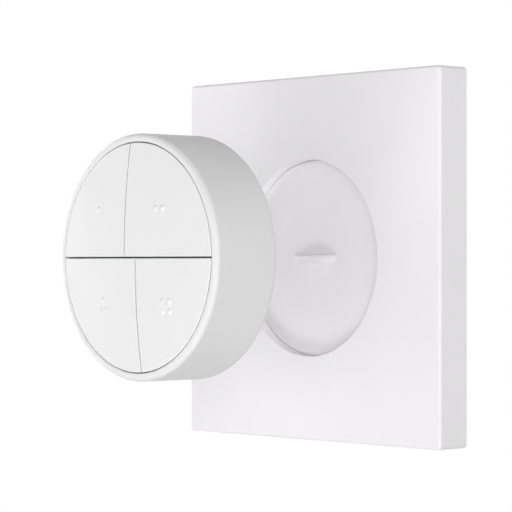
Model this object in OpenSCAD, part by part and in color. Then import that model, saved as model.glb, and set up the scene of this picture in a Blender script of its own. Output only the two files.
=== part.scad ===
// Round dial with four push buttons, lifted off its square wall plate.
// Sizes are in millimetres. The wall is the plane y = 0, +Z is up and the front faces -Y.

/* [Wall plate] */
// Side of the square wall plate
plate_side = 80; // [78:0.5:90]
// Depth of the wall plate, from the wall to its front face
plate_depth = 8.1; // [7.6:0.1:10]
// Radius of the four corners of the plate's outline
plate_corner_r = 1; // [0.6:0.1:2]
// Radius of the rounded front edge
plate_edge_r = 0.7; // [0.3:0.1:1.2]
// Wall thickness of the front plate
plate_wall = 1.8; // [1.4:0.1:2.2]

/* [Docking dish] */
// Diameter of the dish that takes the back of the puck
dish_d = 43.2; // [42.4:0.2:46]
// Depth of the dish below the front face
dish_depth = 2.3; // [1.9:0.1:2.5]
// Radius of the dish's rim
dish_rim_r = 0.25; // [0.1:0.05:0.5]
// Thickness of the dish's floor and wall
dish_floor = 1.4; // [1:0.1:1.6]
// Width of the fine seam round the dish's floor
seam_w = 0.15; // [0.1:0.05:0.3]
// Depth of the fine seam
seam_depth = 0.3; // [0.1:0.05:0.5]
// Length of the half-moon rib on the dish's floor
rib_length = 14; // [10:0.5:14.5]
// Thickness of the half-moon rib
rib_w = 1.6; // [1.2:0.1:2]
// Height of the half-moon rib above the floor
rib_h = 2; // [1.4:0.1:2.2]

/* [Back plate] */
// Thickness of the back plate that is fixed to the wall
back_depth = 2.2; // [1.8:0.1:2.4]
// Clearance between the back plate and the walls of the front plate
back_clear = 0.2; // [0.1:0.05:0.4]
// Distance between opposite wall screws
screw_pitch = 60; // [57:1:64]
// Diameter of the wall screw holes
screw_hole_d = 4.2; // [3.6:0.1:5]
// Diameter of the countersinks
screw_head_d = 7.2; // [6.4:0.1:7.4]
// Length of an adhesive strip
pad_length = 54; // [40:1:60]
// Width of an adhesive strip
pad_w = 14; // [8:1:16]
// Thickness of an adhesive strip
pad_t = 0.8; // [0.5:0.1:1.2]
// Distance of each adhesive strip from the middle
pad_offset = 18; // [14:0.5:19]
// Width of a snap hook
hook_w = 8; // [5:0.5:12]
// Thickness of a snap hook
hook_t = 1.2; // [0.9:0.1:1.6]
// Distance of each snap hook from the middle of its side
hook_offset = 20; // [14:1:26]
// Reach of a snap hook's barb
barb_reach = 0.5; // [0.3:0.05:0.6]
// Reach of the ledge that a barb holds
ledge_reach = 0.7; // [0.65:0.05:1]
// Height of a ledge and of a barb
ledge_h = 0.8; // [0.6:0.1:1]

/* [Keeper ring] */
// Outer diameter of the steel keeper ring behind the dish
keeper_d = 41; // [38:0.5:44]
// Bore of the keeper ring
keeper_bore_d = 26; // [20:0.5:30]
// Thickness of the keeper ring
keeper_t = 1; // [0.6:0.1:1.3]

/* [Lift] */
// Distance of the lifted puck from the front of the plate
lift = 32.4; // [10:0.1:60]
// Distance of the dial from the plate when the puck is docked
dock_gap = 0.5; // [0.3:0.1:1]
// Clearance between the rim of the dish and the puck
dock_clear = 0.4; // [0.2:0.05:0.6]
// Clearance under the foot of the docked puck
seat_clear = 0.1; // [0.05:0.05:0.2]

/* [Dial ring] */
// Outer diameter of the dial
ring_d = 51.2; // [50:0.2:54]
// Depth of the dial
ring_depth = 16.3; // [15.6:0.1:20]
// Width of the lip round the buttons
lip_w = 1.7; // [1.5:0.1:2.2]
// Radius of the lip's outer edge
ring_front_r = 1.1; // [0.3:0.05:1.2]
// Radius of the lip's inner edge
lip_inner_r = 0.3; // [0.1:0.05:0.4]
// Radius of the rear edge
ring_rear_r = 0.9; // [0.3:0.1:1.2]
// Width of the inner flange that holds the dial on the puck
dial_flange_w = 2.6; // [2.3:0.1:3]
// Thickness of the inner flange
dial_flange_t = 2.4; // [2.1:0.1:3]
// Width of the magnetic pole ring
pole_ring_w = 1.2; // [0.8:0.1:1.4]
// Thickness of the magnetic pole ring
pole_ring_t = 1.4; // [0.8:0.1:1.6]
// Running clearance round the dial's flange
run_clear = 0.15; // [0.1:0.05:0.25]

/* [Button caps] */
// Rise of the domed face from the lip to its middle
cap_crown = 1.7; // [1:0.1:2.4]
// Clearance between the caps and the dial
cap_gap = 0.2; // [0.15:0.05:0.35]
// Width of the level split between the upper and lower caps
level_split = 0.32; // [0.16:0.02:0.4]
// Width of the upright splits between neighbouring caps
upright_split = 0.3; // [0.16:0.02:0.4]
// Sideways offset of the upright splits
split_offset = 1.8; // [0:0.1:3]
// Thickness of a cap's face and skirt
cap_wall = 1.6; // [1.2:0.1:1.9]
// Depth of a cap's skirt below the lip
cap_skirt = 3.2; // [2.8:0.1:3.8]
// Travel of a button
cap_travel = 0.5; // [0.3:0.05:0.7]
// Sideways and upright distance of a button's press point from the middle
press_offset = 7.6; // [7.4:0.1:7.8]
// Diameter of the press post under a cap
post_d = 3; // [2.4:0.1:3.4]
// Diameter of the snap pins under a cap
pin_d = 2.4; // [2:0.1:2.8]
// Distance of a snap pin from the nearest edge of its cap
pin_inset = 3.2; // [3:0.1:3.6]
// Distance of a snap pin along that edge
pin_reach = 16.4; // [15.5:0.1:17]
// Height of a snap pin's head
pin_head_h = 1.2; // [0.8:0.1:1.5]
// Overhang of a snap pin's head
pin_head_lip = 0.4; // [0.3:0.05:0.5]
// Width of the slot that lets a snap pin flex
pin_slot_w = 0.6; // [0.4:0.1:0.8]

/* [Tactile dots] */
// Diameter of a raised dot
dot_d = 1.3; // [0.8:0.1:1.8]
// Height of a raised dot
dot_h = 0.35; // [0.2:0.05:0.5]
// Pitch of the dots in a group
dot_pitch = 2; // [1.9:0.1:3]
// Sideways place of the single dot
dot_1_x = -11; // [-14:0.1:-8]
// Sideways place of the pair of dots
dot_2_x = 9; // [6:0.1:14]
// Sideways place of the three dots
dot_3_x = -9.2; // [-14:0.1:-6]
// Sideways place of the four dots
dot_4_x = 11; // [8:0.1:14]
// Upright distance of each group from the level split
dot_y = 10; // [7:0.1:12]

/* [Rear housing] */
// Inset of the housing's flange from the rear of the dial
rear_inset = 0.4; // [0.2:0.1:0.8]
// Thickness of the flange behind the dial
housing_flange_t = 1.6; // [1.2:0.1:2]
// Thickness of the housing's rear wall
base_wall = 1.6; // [1.4:0.1:1.9]
// Thickness of the docking boss's side wall
boss_wall = 1.6; // [1.2:0.1:1.8]
// Bevel that leads the docking boss into the dish
boss_bevel = 0.5; // [0.2:0.1:0.8]
// Thickness of the hub that the dial turns on
hub_wall = 1.5; // [1.2:0.1:1.7]
// Thickness of the glide ring under the dial's flange
glide_t = 0.3; // [0.2:0.05:0.5]
// Width of the rubber foot ring
foot_w = 4; // [3.9:0.1:4.4]
// Thickness of the rubber foot ring
foot_t = 1; // [0.8:0.05:1.1]
// Height of the foot ring above the rear wall
foot_proud = 0.3; // [0.2:0.05:0.4]
// Diameter of a docking magnet
magnet_d = 4.4; // [3.6:0.1:4.8]
// Thickness of a docking magnet
magnet_t = 2.4; // [1.5:0.1:3]
// Thickness and height of the collar round a magnet
collar_t = 0.6; // [0.4:0.1:0.8]
// Thickness of the ribs inside the housing
housing_rib_t = 0.9; // [0.7:0.1:1.2]
// Number of ribs inside the housing and round the button frame
rib_count = 8; // [4:4:8]

/* [Battery] */
// Diameter of the coin cell
cell_d = 20; // [19:0.1:20.4]
// Thickness of the coin cell
cell_h = 3.2; // [2.5:0.1:3.6]
// Height of the step round the coin cell's inner face
cell_step = 0.4; // [0.3:0.05:0.6]
// Clearance round the coin cell
cell_clear = 0.3; // [0.2:0.05:0.4]
// Margin of the battery opening round the cell
opening_margin = 1.6; // [1.4:0.1:1.8]
// Thickness of the battery cover
cover_t = 1.4; // [1.2:0.1:1.5]
// Clearance round the battery cover
cover_clear = 0.15; // [0.1:0.05:0.2]
// Reach of a bayonet lug
lug_reach = 1; // [0.7:0.1:1.1]
// Thickness of a bayonet lug
lug_t = 0.9; // [0.7:0.1:1.1]
// Angle that a bayonet lug spans
lug_angle = 34; // [26:1:36]
// Angle by which a bayonet notch is wider than its lug
notch_margin = 4; // [2:1:6]
// Turn that opens the battery cover
cover_turn = 40; // [40:1:60]
// Thickness of the wall and roof of the bayonet race
race_wall = 1; // [0.8:0.1:1.2]
// Clearance between the rib and the sides of the coin slot
slot_clear = 0.3; // [0.2:0.05:0.5]
// Wall round the coin slot, inside the battery cover
slot_wall = 0.7; // [0.5:0.1:0.8]
// Thickness of the contact strips
contact_t = 0.3; // [0.2:0.05:0.4]
// Width of the contact strips
contact_w = 4; // [2:0.2:5]
// Room for the contacts between the cell and the circuit board
contact_room = 2.3; // [2:0.1:3]

/* [Circuit board] */
// Thickness of the circuit board
board_t = 1; // [0.8:0.1:1.2]
// Clearance round the circuit board
board_clear = 0.4; // [0.2:0.1:0.6]
// Width of the radio module
radio_w = 12; // [10:0.5:14]
// Height of the radio module, along the board
radio_l = 9; // [8:0.5:10]
// Thickness of the radio module
radio_t = 2; // [1.4:0.1:2.2]
// Side of a switch body
switch_side = 4.6; // [4.2:0.1:4.8]
// Height of a switch body
switch_h = 1.9; // [1.6:0.1:2.1]
// Diameter of a switch plunger
plunger_d = 2.2; // [1.6:0.1:2.6]
// Height of a switch plunger above its body
plunger_h = 0.8; // [0.75:0.05:1]
// Length of a chip capacitor
chip_l = 3.2; // [2:0.1:3.6]
// Width of a chip capacitor
chip_w = 1.6; // [1.2:0.1:2]
// Height of a chip capacitor
chip_h = 1.2; // [0.8:0.1:1.6]
// Length of a rotation sensor
sensor_l = 2.9; // [2:0.1:3.2]
// Height of a rotation sensor
sensor_h = 1.1; // [0.8:0.1:1.2]
// Angle of each rotation sensor from the top of the board
sensor_turn = 8; // [6:0.5:12]

/* [Button frame] */
// Thickness of the frame's wall
frame_wall = 1.1; // [0.9:0.1:1.2]
// Thickness of the deck that guides the buttons
deck_t = 1.4; // [1.2:0.1:1.8]
// Clearance over the deck when a button is pressed
deck_clear = 0.3; // [0.2:0.05:0.5]
// Overhang of the deck inside the dial
deck_margin = 0.5; // [0.3:0.1:0.8]
// Thickness of the foot that keeps the dial on the puck
frame_foot_t = 1.2; // [1:0.1:1.5]
// Thickness of the ribs round the frame
frame_rib_t = 1; // [0.8:0.1:1.4]
// Clearance of the pins and posts in the deck
guide_clear = 0.2; // [0.15:0.05:0.3]
// Diameter of the housing screws
bolt_d = 2; // [1.8:0.1:2.2]
// Head diameter of the housing screws
bolt_head_d = 3.4; // [3:0.1:3.5]
// Head height of the housing screws
bolt_head_h = 1.3; // [1:0.1:1.5]
// Clearance round the housing screws
bolt_clear = 0.1; // [0.05:0.05:0.15]
// Diameter of the posts round the housing screws
bolt_post_d = 4.8; // [4.5:0.1:5]
// Length of a housing screw's grip in the button frame
bolt_grip = 3; // [2.5:0.1:3.5]

/* [Hidden] */

// Overlap that keeps cuts and joined shapes clean
eps = 0.2;
// Face-to-face assembly play
play = 0.05;
quarter_turns = [0, 90, 180, 270];
round_fn = 96;
small_fn = 32;
// Sides of the circle that the shallow dome is cut from
dome_fn = 1440;

// Wall plate
plate_inner = plate_side - 2 * plate_wall;
dish_r = dish_d / 2;
dish_floor_z = plate_depth - dish_depth;
dish_back_z = dish_floor_z - dish_floor;
rib_r = arc_radius(rib_length, rib_h);
back_side = plate_inner - 2 * back_clear;
ledge_z = back_depth + ledge_h;
barb_z = ledge_z + ledge_h + play;
hook_face = plate_inner / 2 - ledge_reach - 2 * back_clear;

// Dial, from its rear edge at zero
ring_r = ring_d / 2;
ring_bore_r = ring_r - lip_w;
dial_flange_r = ring_bore_r - dial_flange_w;
flange_z = rear_inset + housing_flange_t;
glide_z = flange_z + glide_t;
dial_flange_z = glide_z + run_clear;
frame_foot_z = dial_flange_z + dial_flange_t + run_clear;
pole_groove_t = pole_ring_t + play;
pole_ring_r = ring_bore_r - (dial_flange_w - pole_ring_w) / 2;

// Rear housing
hub_r = dial_flange_r - run_clear;
hub_inner_r = hub_r - hub_wall;
flange_r = ring_bore_r - run_clear;
boss_r = dish_r - dock_clear;
boss_inner_r = boss_r - boss_wall;
rear_z = -(dish_depth + dock_gap - foot_proud - seat_clear);
base_z = rear_z + base_wall;
foot_z = rear_z - foot_proud;
foot_groove_z = foot_z + foot_t + play;

// Battery opening with its bayonet race
opening_r = cell_d / 2 + opening_margin;
cover_r = opening_r - cover_clear;
lug_r = opening_r + lug_reach;
race_r = lug_r + cover_clear;
notch_r = lug_r + cover_clear / 2;
race_wall_r = race_r + race_wall;
lug_z = base_z + play;
lug_top_z = lug_z + lug_t;
race_roof_z = lug_top_z + play;
holder_r = cell_d / 2 + cell_clear;
contact_window = 3 * race_wall;
lug_places = [90, 210, 330];
slot_length = rib_length + 4 * slot_clear;
slot_w = rib_w + 2 * slot_clear;
slot_depth = rib_h - foot_proud - seat_clear + slot_clear;
slot_r = arc_radius(slot_length, slot_depth);
slot_top_z = rear_z + slot_depth + slot_wall;
cell_z = max(lug_top_z, slot_top_z) + play;
cell_top_z = cell_z + cell_h;
holder_top_z = cell_top_z - contact_t;

// Circle that the housing screws and the magnets stand on
fixing_r = (race_wall_r + min(boss_inner_r, hub_inner_r)) / 2;
bolt_places = [45, 135, 225, 315];
magnet_places = quarter_turns;
magnet_r = magnet_d / 2;
rib_places = [for (i = [0 : rib_count - 1]) (i + 0.5) * 360 / rib_count];
bolt_seat_z = foot_groove_z + bolt_head_h + 2 * play;

// Circuit board
board_z = cell_top_z + contact_room;
board_top_z = board_z + board_t;
switch_top_z = board_top_z + switch_h;
plunger_top_z = switch_top_z + plunger_h;
plunger_bottom_z = board_top_z + cap_travel + 3 * play;
board_top_angle = 90;
sensor_places = [board_top_angle - sensor_turn, board_top_angle + sensor_turn];

// Button frame
frame_foot_top_z = frame_foot_z + frame_foot_t;
frame_r = hub_r - play;
frame_inner_r = frame_r - frame_wall;
board_r = frame_inner_r - board_clear;
skirt_z = ring_depth - cap_skirt;
deck_top_z = skirt_z - cap_travel - deck_clear;
deck_z = deck_top_z - deck_t;
deck_r = ring_bore_r - deck_margin;
bolt_tip_z = board_top_z + bolt_grip;
post_hole_d = post_d + 2 * guide_clear;
pin_hole_d = pin_d + 2 * guide_clear;

// Button caps: side of the middle that each lies on, the edge on its upright split, and its dots
cap_r = ring_bore_r - cap_gap;
dome_r = (pow(cap_r, 2) + pow(cap_crown, 2)) / (2 * cap_crown);
dome_top_z = ring_depth + cap_crown;
cap_side = [[-1, 1], [1, 1], [-1, -1], [1, -1]];
cap_edge_x = [for (side = cap_side) -side[1] * split_offset + side[0] * upright_split / 2];
cap_edge_y = level_split / 2;
half_pitch = dot_pitch / 2;
dots = [
    [[dot_1_x, dot_y]],
    [[dot_2_x - half_pitch, dot_y], [dot_2_x + half_pitch, dot_y]],
    [[dot_3_x, half_pitch - dot_y], for (s = [-1, 1]) [dot_3_x + s * half_pitch, -half_pitch - dot_y]],
    [for (s = [-1, 1]) for (t = [-1, 1]) [dot_4_x + s * half_pitch, t * half_pitch - dot_y]],
];
dot_r = arc_radius(dot_d, dot_h);

plastic_white = "#f2f2f0";
frame_grey = "#d9dbdd";
glide_grey = "#dfe3e6";
plunger_grey = "#c7c9cc";
foam_white = "#e6e6e2";
rubber_grey = "#8d9094";
steel_grey = "#b4b8bc";
ferrite_black = "#4a4d52";
contact_gold = "#c9b27a";
board_green = "#1f6b3a";
chip_black = "#2b2d30";
chip_brown = "#8a7256";

// Radius of the arc over a chord of the given length and height
function arc_radius(chord, height) = (pow(chord / 2, 2) + pow(height, 2)) / (2 * height);
// Height of the domed face at a place on the front
function dome_z(p) = dome_top_z - dome_r + sqrt(pow(dome_r, 2) - pow(norm(p), 2));

// Turns x right, y up and z outwards into the part's own frame
module on_wall() {
    rotate([90, 0, 0]) children();
}

// Frame of the puck, with z outwards from the rear edge of the dial
module on_puck() {
    on_wall() translate([0, 0, plate_depth + lift]) children();
}

module disc(r, z0, z1, fn = round_fn) {
    translate([0, 0, z0]) cylinder(r = r, h = z1 - z0, $fn = fn);
}

module tube(r_in, r_out, z0, z1, fn = round_fn) {
    difference() {
        disc(r_out, z0, z1, fn);
        disc(r_in, z0 - eps, z1 + eps, fn);
    }
}

// Rectangle in a revolved section
module band(r0, r1, z0, z1) {
    translate([r0, z0]) square([r1 - r0, z1 - z0]);
}

module block(w, l, z0, z1) {
    translate([-w / 2, -l / 2, z0]) cube([w, l, z1 - z0]);
}

module at_angles(places, r) {
    for (a = places) rotate(a) translate([r, 0, 0]) children();
}

module at_corners(offset_x, offset_y) {
    for (x = [-1, 1], y = [-1, 1]) translate([x * offset_x, y * offset_y, 0]) children();
}

module rounded_square(side, r) {
    square([side - 2 * r, side], center = true);
    square([side, side - 2 * r], center = true);
    at_corners(side / 2 - r, side / 2 - r) circle(r = r, $fn = small_fn);
}

// Section of the plate, with both front edges rounded
module plate_section() {
    translate([-plate_side / 2, 0]) square([plate_side, plate_depth - plate_edge_r]);
    translate([plate_edge_r - plate_side / 2, 0]) square([plate_side - 2 * plate_edge_r, plate_depth]);
    for (s = [-1, 1]) {
        translate([s * (plate_side / 2 - plate_edge_r), plate_depth - plate_edge_r])
            circle(r = plate_edge_r, $fn = small_fn);
    }
}

module plate_bar() {
    rotate([90, 0, 0]) linear_extrude(plate_side, center = true) plate_section();
}

module plate_outline() {
    intersection() {
        linear_extrude(plate_depth) rounded_square(plate_side, plate_corner_r);
        plate_bar();
        rotate(90) plate_bar();
    }
}

// Upright slice of a disc of radius r, of which the height h stands above zero
module half_moon(r, w, h) {
    rotate([90, 0, 0]) linear_extrude(w, center = true) intersection() {
        translate([0, h - r]) circle(r = r, $fn = round_fn);
        translate([-r, -eps]) square([2 * r, h + 2 * eps]);
    }
}

// Section of the cut that makes the dish, with its rounded rim and the seam round its floor
module dish_section() {
    rim_r = dish_r + dish_rim_r;
    rim_z = plate_depth - dish_rim_r;
    band(0, dish_r, dish_floor_z, plate_depth + eps);
    band(dish_r - seam_w, dish_r, dish_floor_z - seam_depth, plate_depth);
    difference() {
        band(dish_r - eps, rim_r, rim_z, plate_depth + eps);
        translate([rim_r, rim_z]) circle(r = dish_rim_r, $fn = small_fn);
    }
}

// Places along the four sides where the back plate hooks into the front plate
module at_hooks() {
    for (a = quarter_turns, s = [-1, 1]) rotate(a) translate([0, s * hook_offset, 0]) children();
}

module front_plate() {
    color(plastic_white) on_wall() {
        difference() {
            plate_outline();
            difference() {
                block(plate_inner, plate_inner, -eps, plate_depth - plate_wall);
                disc(dish_r + dish_floor, dish_back_z, plate_depth);
            }
            rotate_extrude($fn = round_fn) dish_section();
        }
        translate([0, 0, dish_floor_z]) half_moon(rib_r, rib_w, rib_h);
        at_hooks() translate([plate_inner / 2 - ledge_reach, -hook_w / 2, ledge_z])
            cube([ledge_reach + eps, hook_w, ledge_h]);
    }
}

module snap_hook() {
    translate([hook_face - hook_t, -hook_w / 2, back_depth - eps])
        cube([hook_t, hook_w, barb_z + ledge_h - back_depth + eps]);
    rotate([90, 0, 0]) linear_extrude(hook_w, center = true) polygon([
        [hook_face - eps, barb_z],
        [hook_face + barb_reach, barb_z],
        [hook_face, barb_z + ledge_h],
        [hook_face - eps, barb_z + ledge_h],
    ]);
}

module back_plate() {
    color(plastic_white) on_wall() {
        difference() {
            block(back_side, back_side, 0, back_depth);
            at_angles(quarter_turns, screw_pitch / 2) {
                disc(screw_hole_d / 2, -eps, back_depth + eps, small_fn);
                translate([0, 0, back_depth - (screw_head_d - screw_hole_d) / 2])
                    cylinder(d1 = screw_hole_d, d2 = screw_head_d,
                        h = (screw_head_d - screw_hole_d) / 2, $fn = small_fn);
            }
            for (s = [-1, 1]) translate([s * pad_offset, 0, 0])
                block(pad_w + 2 * play, pad_length + 2 * play, -eps, pad_t);
        }
        at_hooks() snap_hook();
    }
}

module adhesive_strips() {
    color(foam_white) on_wall() {
        for (s = [-1, 1]) translate([s * pad_offset, 0, 0]) block(pad_w, pad_length, 0, pad_t);
    }
}

module keeper_ring() {
    color(steel_grey) on_wall()
        tube(keeper_bore_d / 2, keeper_d / 2, dish_back_z - keeper_t, dish_back_z);
}

// Sector of a ring, centred on the given angle
module sector(r_in, r_out, span, z0, z1) {
    reach = 2 * r_out;
    translate([0, 0, z0]) linear_extrude(z1 - z0) intersection() {
        difference() {
            circle(r = r_out, $fn = round_fn);
            circle(r = r_in, $fn = round_fn);
        }
        polygon([
            [0, 0],
            reach * [cos(span / 2), -sin(span / 2)],
            reach * [cos(span / 2), sin(span / 2)],
        ]);
    }
}

module housing_section() {
    difference() {
        union() {
            band(opening_r, boss_r, rear_z, base_z);
            band(boss_inner_r, boss_r, rear_z, flange_z);
            band(min(boss_inner_r, hub_inner_r), flange_r, rear_inset, flange_z);
            band(hub_inner_r, hub_r, rear_inset, frame_foot_z);
            band(race_r, race_wall_r, rear_z, race_roof_z + race_wall);
            band(holder_r, race_wall_r, race_roof_z, race_roof_z + race_wall);
            band(holder_r, holder_r + race_wall, race_roof_z, holder_top_z);
        }
        band(fixing_r - foot_w / 2 - play, fixing_r + foot_w / 2 + play, rear_z - eps, foot_groove_z);
        translate([boss_r, rear_z]) polygon([
            [-boss_bevel, 0],
            [-boss_bevel, -eps],
            [eps, -eps],
            [eps, boss_bevel],
            [0, boss_bevel],
        ]);
    }
}

module rear_housing() {
    color(plastic_white) on_puck() difference() {
        union() {
            rotate_extrude($fn = round_fn) housing_section();
            at_angles(bolt_places, fixing_r) disc(bolt_post_d / 2, base_z - eps, board_z, small_fn);
            at_angles(magnet_places, fixing_r)
                tube(magnet_r + play, magnet_r + collar_t, base_z - eps, base_z + collar_t, small_fn);
            at_angles(rib_places, race_wall_r - eps)
                translate([0, -housing_rib_t / 2, base_z - eps])
                    cube([boss_inner_r - race_wall_r + 2 * eps, housing_rib_t, flange_z - base_z]);
        }
        at_angles(bolt_places, fixing_r) {
            disc(bolt_head_d / 2 + bolt_clear, rear_z - eps, bolt_seat_z, small_fn);
            disc(bolt_d / 2 + bolt_clear, rear_z, board_z + eps, small_fn);
        }
        for (a = lug_places) rotate(a - cover_turn)
            sector(cell_d / 2, notch_r, lug_angle + notch_margin, rear_z - eps, base_z + play);
        translate([-holder_r - race_wall, 0, 0])
            block(contact_window, contact_w + 2 * cell_clear, race_roof_z + race_wall, cell_top_z);
    }
}

module foot_ring() {
    color(rubber_grey) on_puck()
        tube(fixing_r - foot_w / 2, fixing_r + foot_w / 2, foot_z, foot_z + foot_t);
}

module docking_magnets() {
    color(steel_grey) on_puck() at_angles(magnet_places, fixing_r)
        disc(magnet_r, base_z, base_z + magnet_t, small_fn);
}

module housing_screws() {
    color(steel_grey) on_puck() at_angles(bolt_places, fixing_r) {
        disc(bolt_head_d / 2, bolt_seat_z - bolt_head_h, bolt_seat_z, small_fn);
        disc(bolt_d / 2, bolt_seat_z - eps, bolt_tip_z, small_fn);
    }
}

module glide_ring() {
    color(glide_grey) on_puck() tube(hub_r + play, flange_r - play, flange_z, glide_z);
}

module coin_cell() {
    color(steel_grey) on_puck() {
        disc(cell_d / 2, cell_z, cell_top_z - cell_step);
        disc(cell_d / 2 - 2 * cell_step, cell_top_z - cell_step - eps, cell_top_z);
    }
}

module positive_contact() {
    leg_x = -cell_d / 2 - cell_clear / 2 - contact_t;
    color(contact_gold) on_puck() {
        translate([leg_x, -contact_w / 2, race_roof_z + race_wall + play])
            cube([contact_t, contact_w, board_z - race_roof_z - race_wall - play]);
        translate([leg_x - contact_w, -contact_w / 2, board_z - contact_t])
            cube([contact_w + eps, contact_w, contact_t]);
    }
}

module negative_contact() {
    tip_z = cell_top_z + play;
    root_x = contact_w;
    tip_x = -contact_w;
    color(contact_gold) on_puck() rotate([90, 0, 0]) linear_extrude(contact_w, center = true) polygon([
        [2 * root_x, board_z],
        [2 * root_x, board_z - contact_t],
        [root_x, board_z - contact_t],
        [0, tip_z],
        [tip_x, tip_z],
        [tip_x, tip_z + contact_t],
        [0, tip_z + contact_t],
        [root_x, board_z],
    ]);
}

module circuit_board() {
    color(board_green) on_puck() difference() {
        disc(board_r, board_z, board_top_z);
        at_angles(bolt_places, fixing_r)
            disc(bolt_d / 2 + bolt_clear, board_z - eps, board_top_z + eps, small_fn);
    }
}

module radio_module() {
    color(steel_grey) on_puck() block(radio_w, radio_l, board_top_z, board_top_z + radio_t);
}

module at_switches() {
    at_corners(press_offset, press_offset) children();
}

module switch_bodies() {
    color(chip_black) on_puck() at_switches() difference() {
        block(switch_side, switch_side, board_top_z, switch_top_z);
        disc(plunger_d / 2 + guide_clear, board_top_z + 2 * play, switch_top_z + eps, small_fn);
    }
}

module switch_plunger(number) {
    color(plunger_grey) on_puck() translate(press_offset * cap_side[number - 1])
        disc(plunger_d / 2, plunger_bottom_z, plunger_top_z, small_fn);
}

module chip_capacitors() {
    color(chip_brown) on_puck() at_angles(quarter_turns, press_offset + switch_side)
        block(chip_w, chip_l, board_top_z, board_top_z + chip_h);
}

module rotation_sensors() {
    sensor_r = board_r - sensor_l / 2;
    color(chip_black) on_puck() at_angles(sensor_places, sensor_r)
        block(sensor_l / 2, sensor_l, board_z - sensor_h, board_z);
}

// Places of the two snap pins of a cap, one near each of its straight edges
function pin_places(i) = [
    [cap_edge_x[i] + cap_side[i][0] * pin_inset, cap_side[i][1] * pin_reach],
    [cap_side[i][0] * pin_reach, cap_side[i][1] * (cap_edge_y + pin_inset)],
];

module button_frame() {
    color(frame_grey) on_puck() difference() {
        union() {
            tube(frame_inner_r, frame_r, frame_foot_z, deck_top_z - eps);
            tube(frame_inner_r, flange_r, frame_foot_z, frame_foot_top_z);
            disc(deck_r, deck_z, deck_top_z);
            at_angles(bolt_places, fixing_r) disc(bolt_post_d / 2, board_top_z, deck_z + eps, small_fn);
            at_angles(rib_places, frame_r - eps)
                translate([0, -frame_rib_t / 2, frame_foot_top_z - eps])
                    cube([deck_r - frame_r, frame_rib_t, deck_z - frame_foot_top_z + 2 * eps]);
        }
        at_angles(bolt_places, fixing_r)
            disc(bolt_d / 2 + bolt_clear / 2, board_top_z - eps, bolt_tip_z + eps, small_fn);
        at_switches() disc(post_hole_d / 2, deck_z - eps, deck_top_z + eps, small_fn);
        for (i = [0 : 3], p = pin_places(i)) translate(p)
            disc(pin_hole_d / 2, deck_z - eps, deck_top_z + eps, small_fn);
    }
}

module battery_cover() {
    color(plastic_white) on_puck() difference() {
        union() {
            disc(cover_r, rear_z, rear_z + cover_t);
            tube(cover_r - race_wall, cover_r, rear_z, lug_top_z);
            for (a = lug_places) rotate(a)
                sector(cover_r - race_wall / 2, lug_r, lug_angle, lug_z, lug_top_z);
            block(slot_length + 2 * slot_wall, slot_w + 2 * slot_wall, rear_z + eps, slot_top_z);
        }
        translate([0, 0, rear_z]) half_moon(slot_r, slot_w, slot_depth);
    }
}

// Section of the dial's outer wall, with its three rounded edges
module rim_section() {
    lip_z = ring_depth - ring_front_r;
    intersection() {
        union() {
            band(ring_bore_r, ring_r, ring_rear_r, lip_z);
            band(ring_bore_r, ring_r - ring_rear_r, 0, ring_rear_r + eps);
            band(ring_bore_r, ring_r - ring_front_r, lip_z - eps, ring_depth - lip_inner_r);
            band(ring_bore_r + lip_inner_r, ring_r - ring_front_r, lip_z, ring_depth);
            translate([ring_r - ring_rear_r, ring_rear_r]) circle(r = ring_rear_r, $fn = small_fn);
            translate([ring_r - ring_front_r, lip_z]) circle(r = ring_front_r, $fn = small_fn);
            translate([ring_bore_r + lip_inner_r, ring_depth - lip_inner_r])
                circle(r = lip_inner_r, $fn = small_fn);
        }
        band(ring_bore_r, ring_r, 0, ring_depth);
    }
}

// Section of the dial: its outer wall and the grooved inner flange
module ring_section() {
    flange_top_z = dial_flange_z + dial_flange_t;
    rim_section();
    difference() {
        band(dial_flange_r, ring_bore_r + eps, dial_flange_z, flange_top_z);
        band(pole_ring_r - pole_ring_w - play, pole_ring_r + play,
            flange_top_z - pole_groove_t, flange_top_z + eps);
    }
}

module dial_ring() {
    color(plastic_white) on_puck() rotate_extrude($fn = round_fn) ring_section();
}

module pole_ring() {
    floor_z = dial_flange_z + dial_flange_t - pole_groove_t;
    color(ferrite_black) on_puck()
        tube(pole_ring_r - pole_ring_w, pole_ring_r, floor_z, floor_z + pole_ring_t);
}

// Domed field that the four caps are cut from, drawn in by the given distance
module dome(inset, z0) {
    rotate_extrude($fn = round_fn) intersection() {
        translate([0, dome_top_z - dome_r]) circle(r = dome_r - inset, $fn = dome_fn);
        translate([0, z0]) square([cap_r - inset, dome_top_z - z0]);
    }
}

// Column over one cap's share of the field, drawn in from its straight edges
module cap_share(i, inset) {
    x0 = cap_edge_x[i] + cap_side[i][0] * inset;
    y0 = cap_side[i][1] * (cap_edge_y + inset);
    translate([x0, y0, -eps])
        mirror([cap_side[i][0] < 0 ? 1 : 0, 0, 0])
            mirror([0, cap_side[i][1] < 0 ? 1 : 0, 0])
                cube([2 * ring_r, 2 * ring_r, 2 * dome_top_z]);
}

// Split pin whose head springs open under the deck
module snap_pin() {
    head_z = deck_z - play;
    difference() {
        union() {
            disc(pin_d / 2, head_z - pin_head_h, dome_top_z, small_fn);
            translate([0, 0, head_z - pin_head_h])
                cylinder(d1 = pin_d, d2 = pin_d + 2 * pin_head_lip, h = pin_head_h, $fn = small_fn);
        }
        block(pin_slot_w, 2 * pin_d, head_z - pin_head_h - eps, deck_top_z);
    }
}

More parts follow.
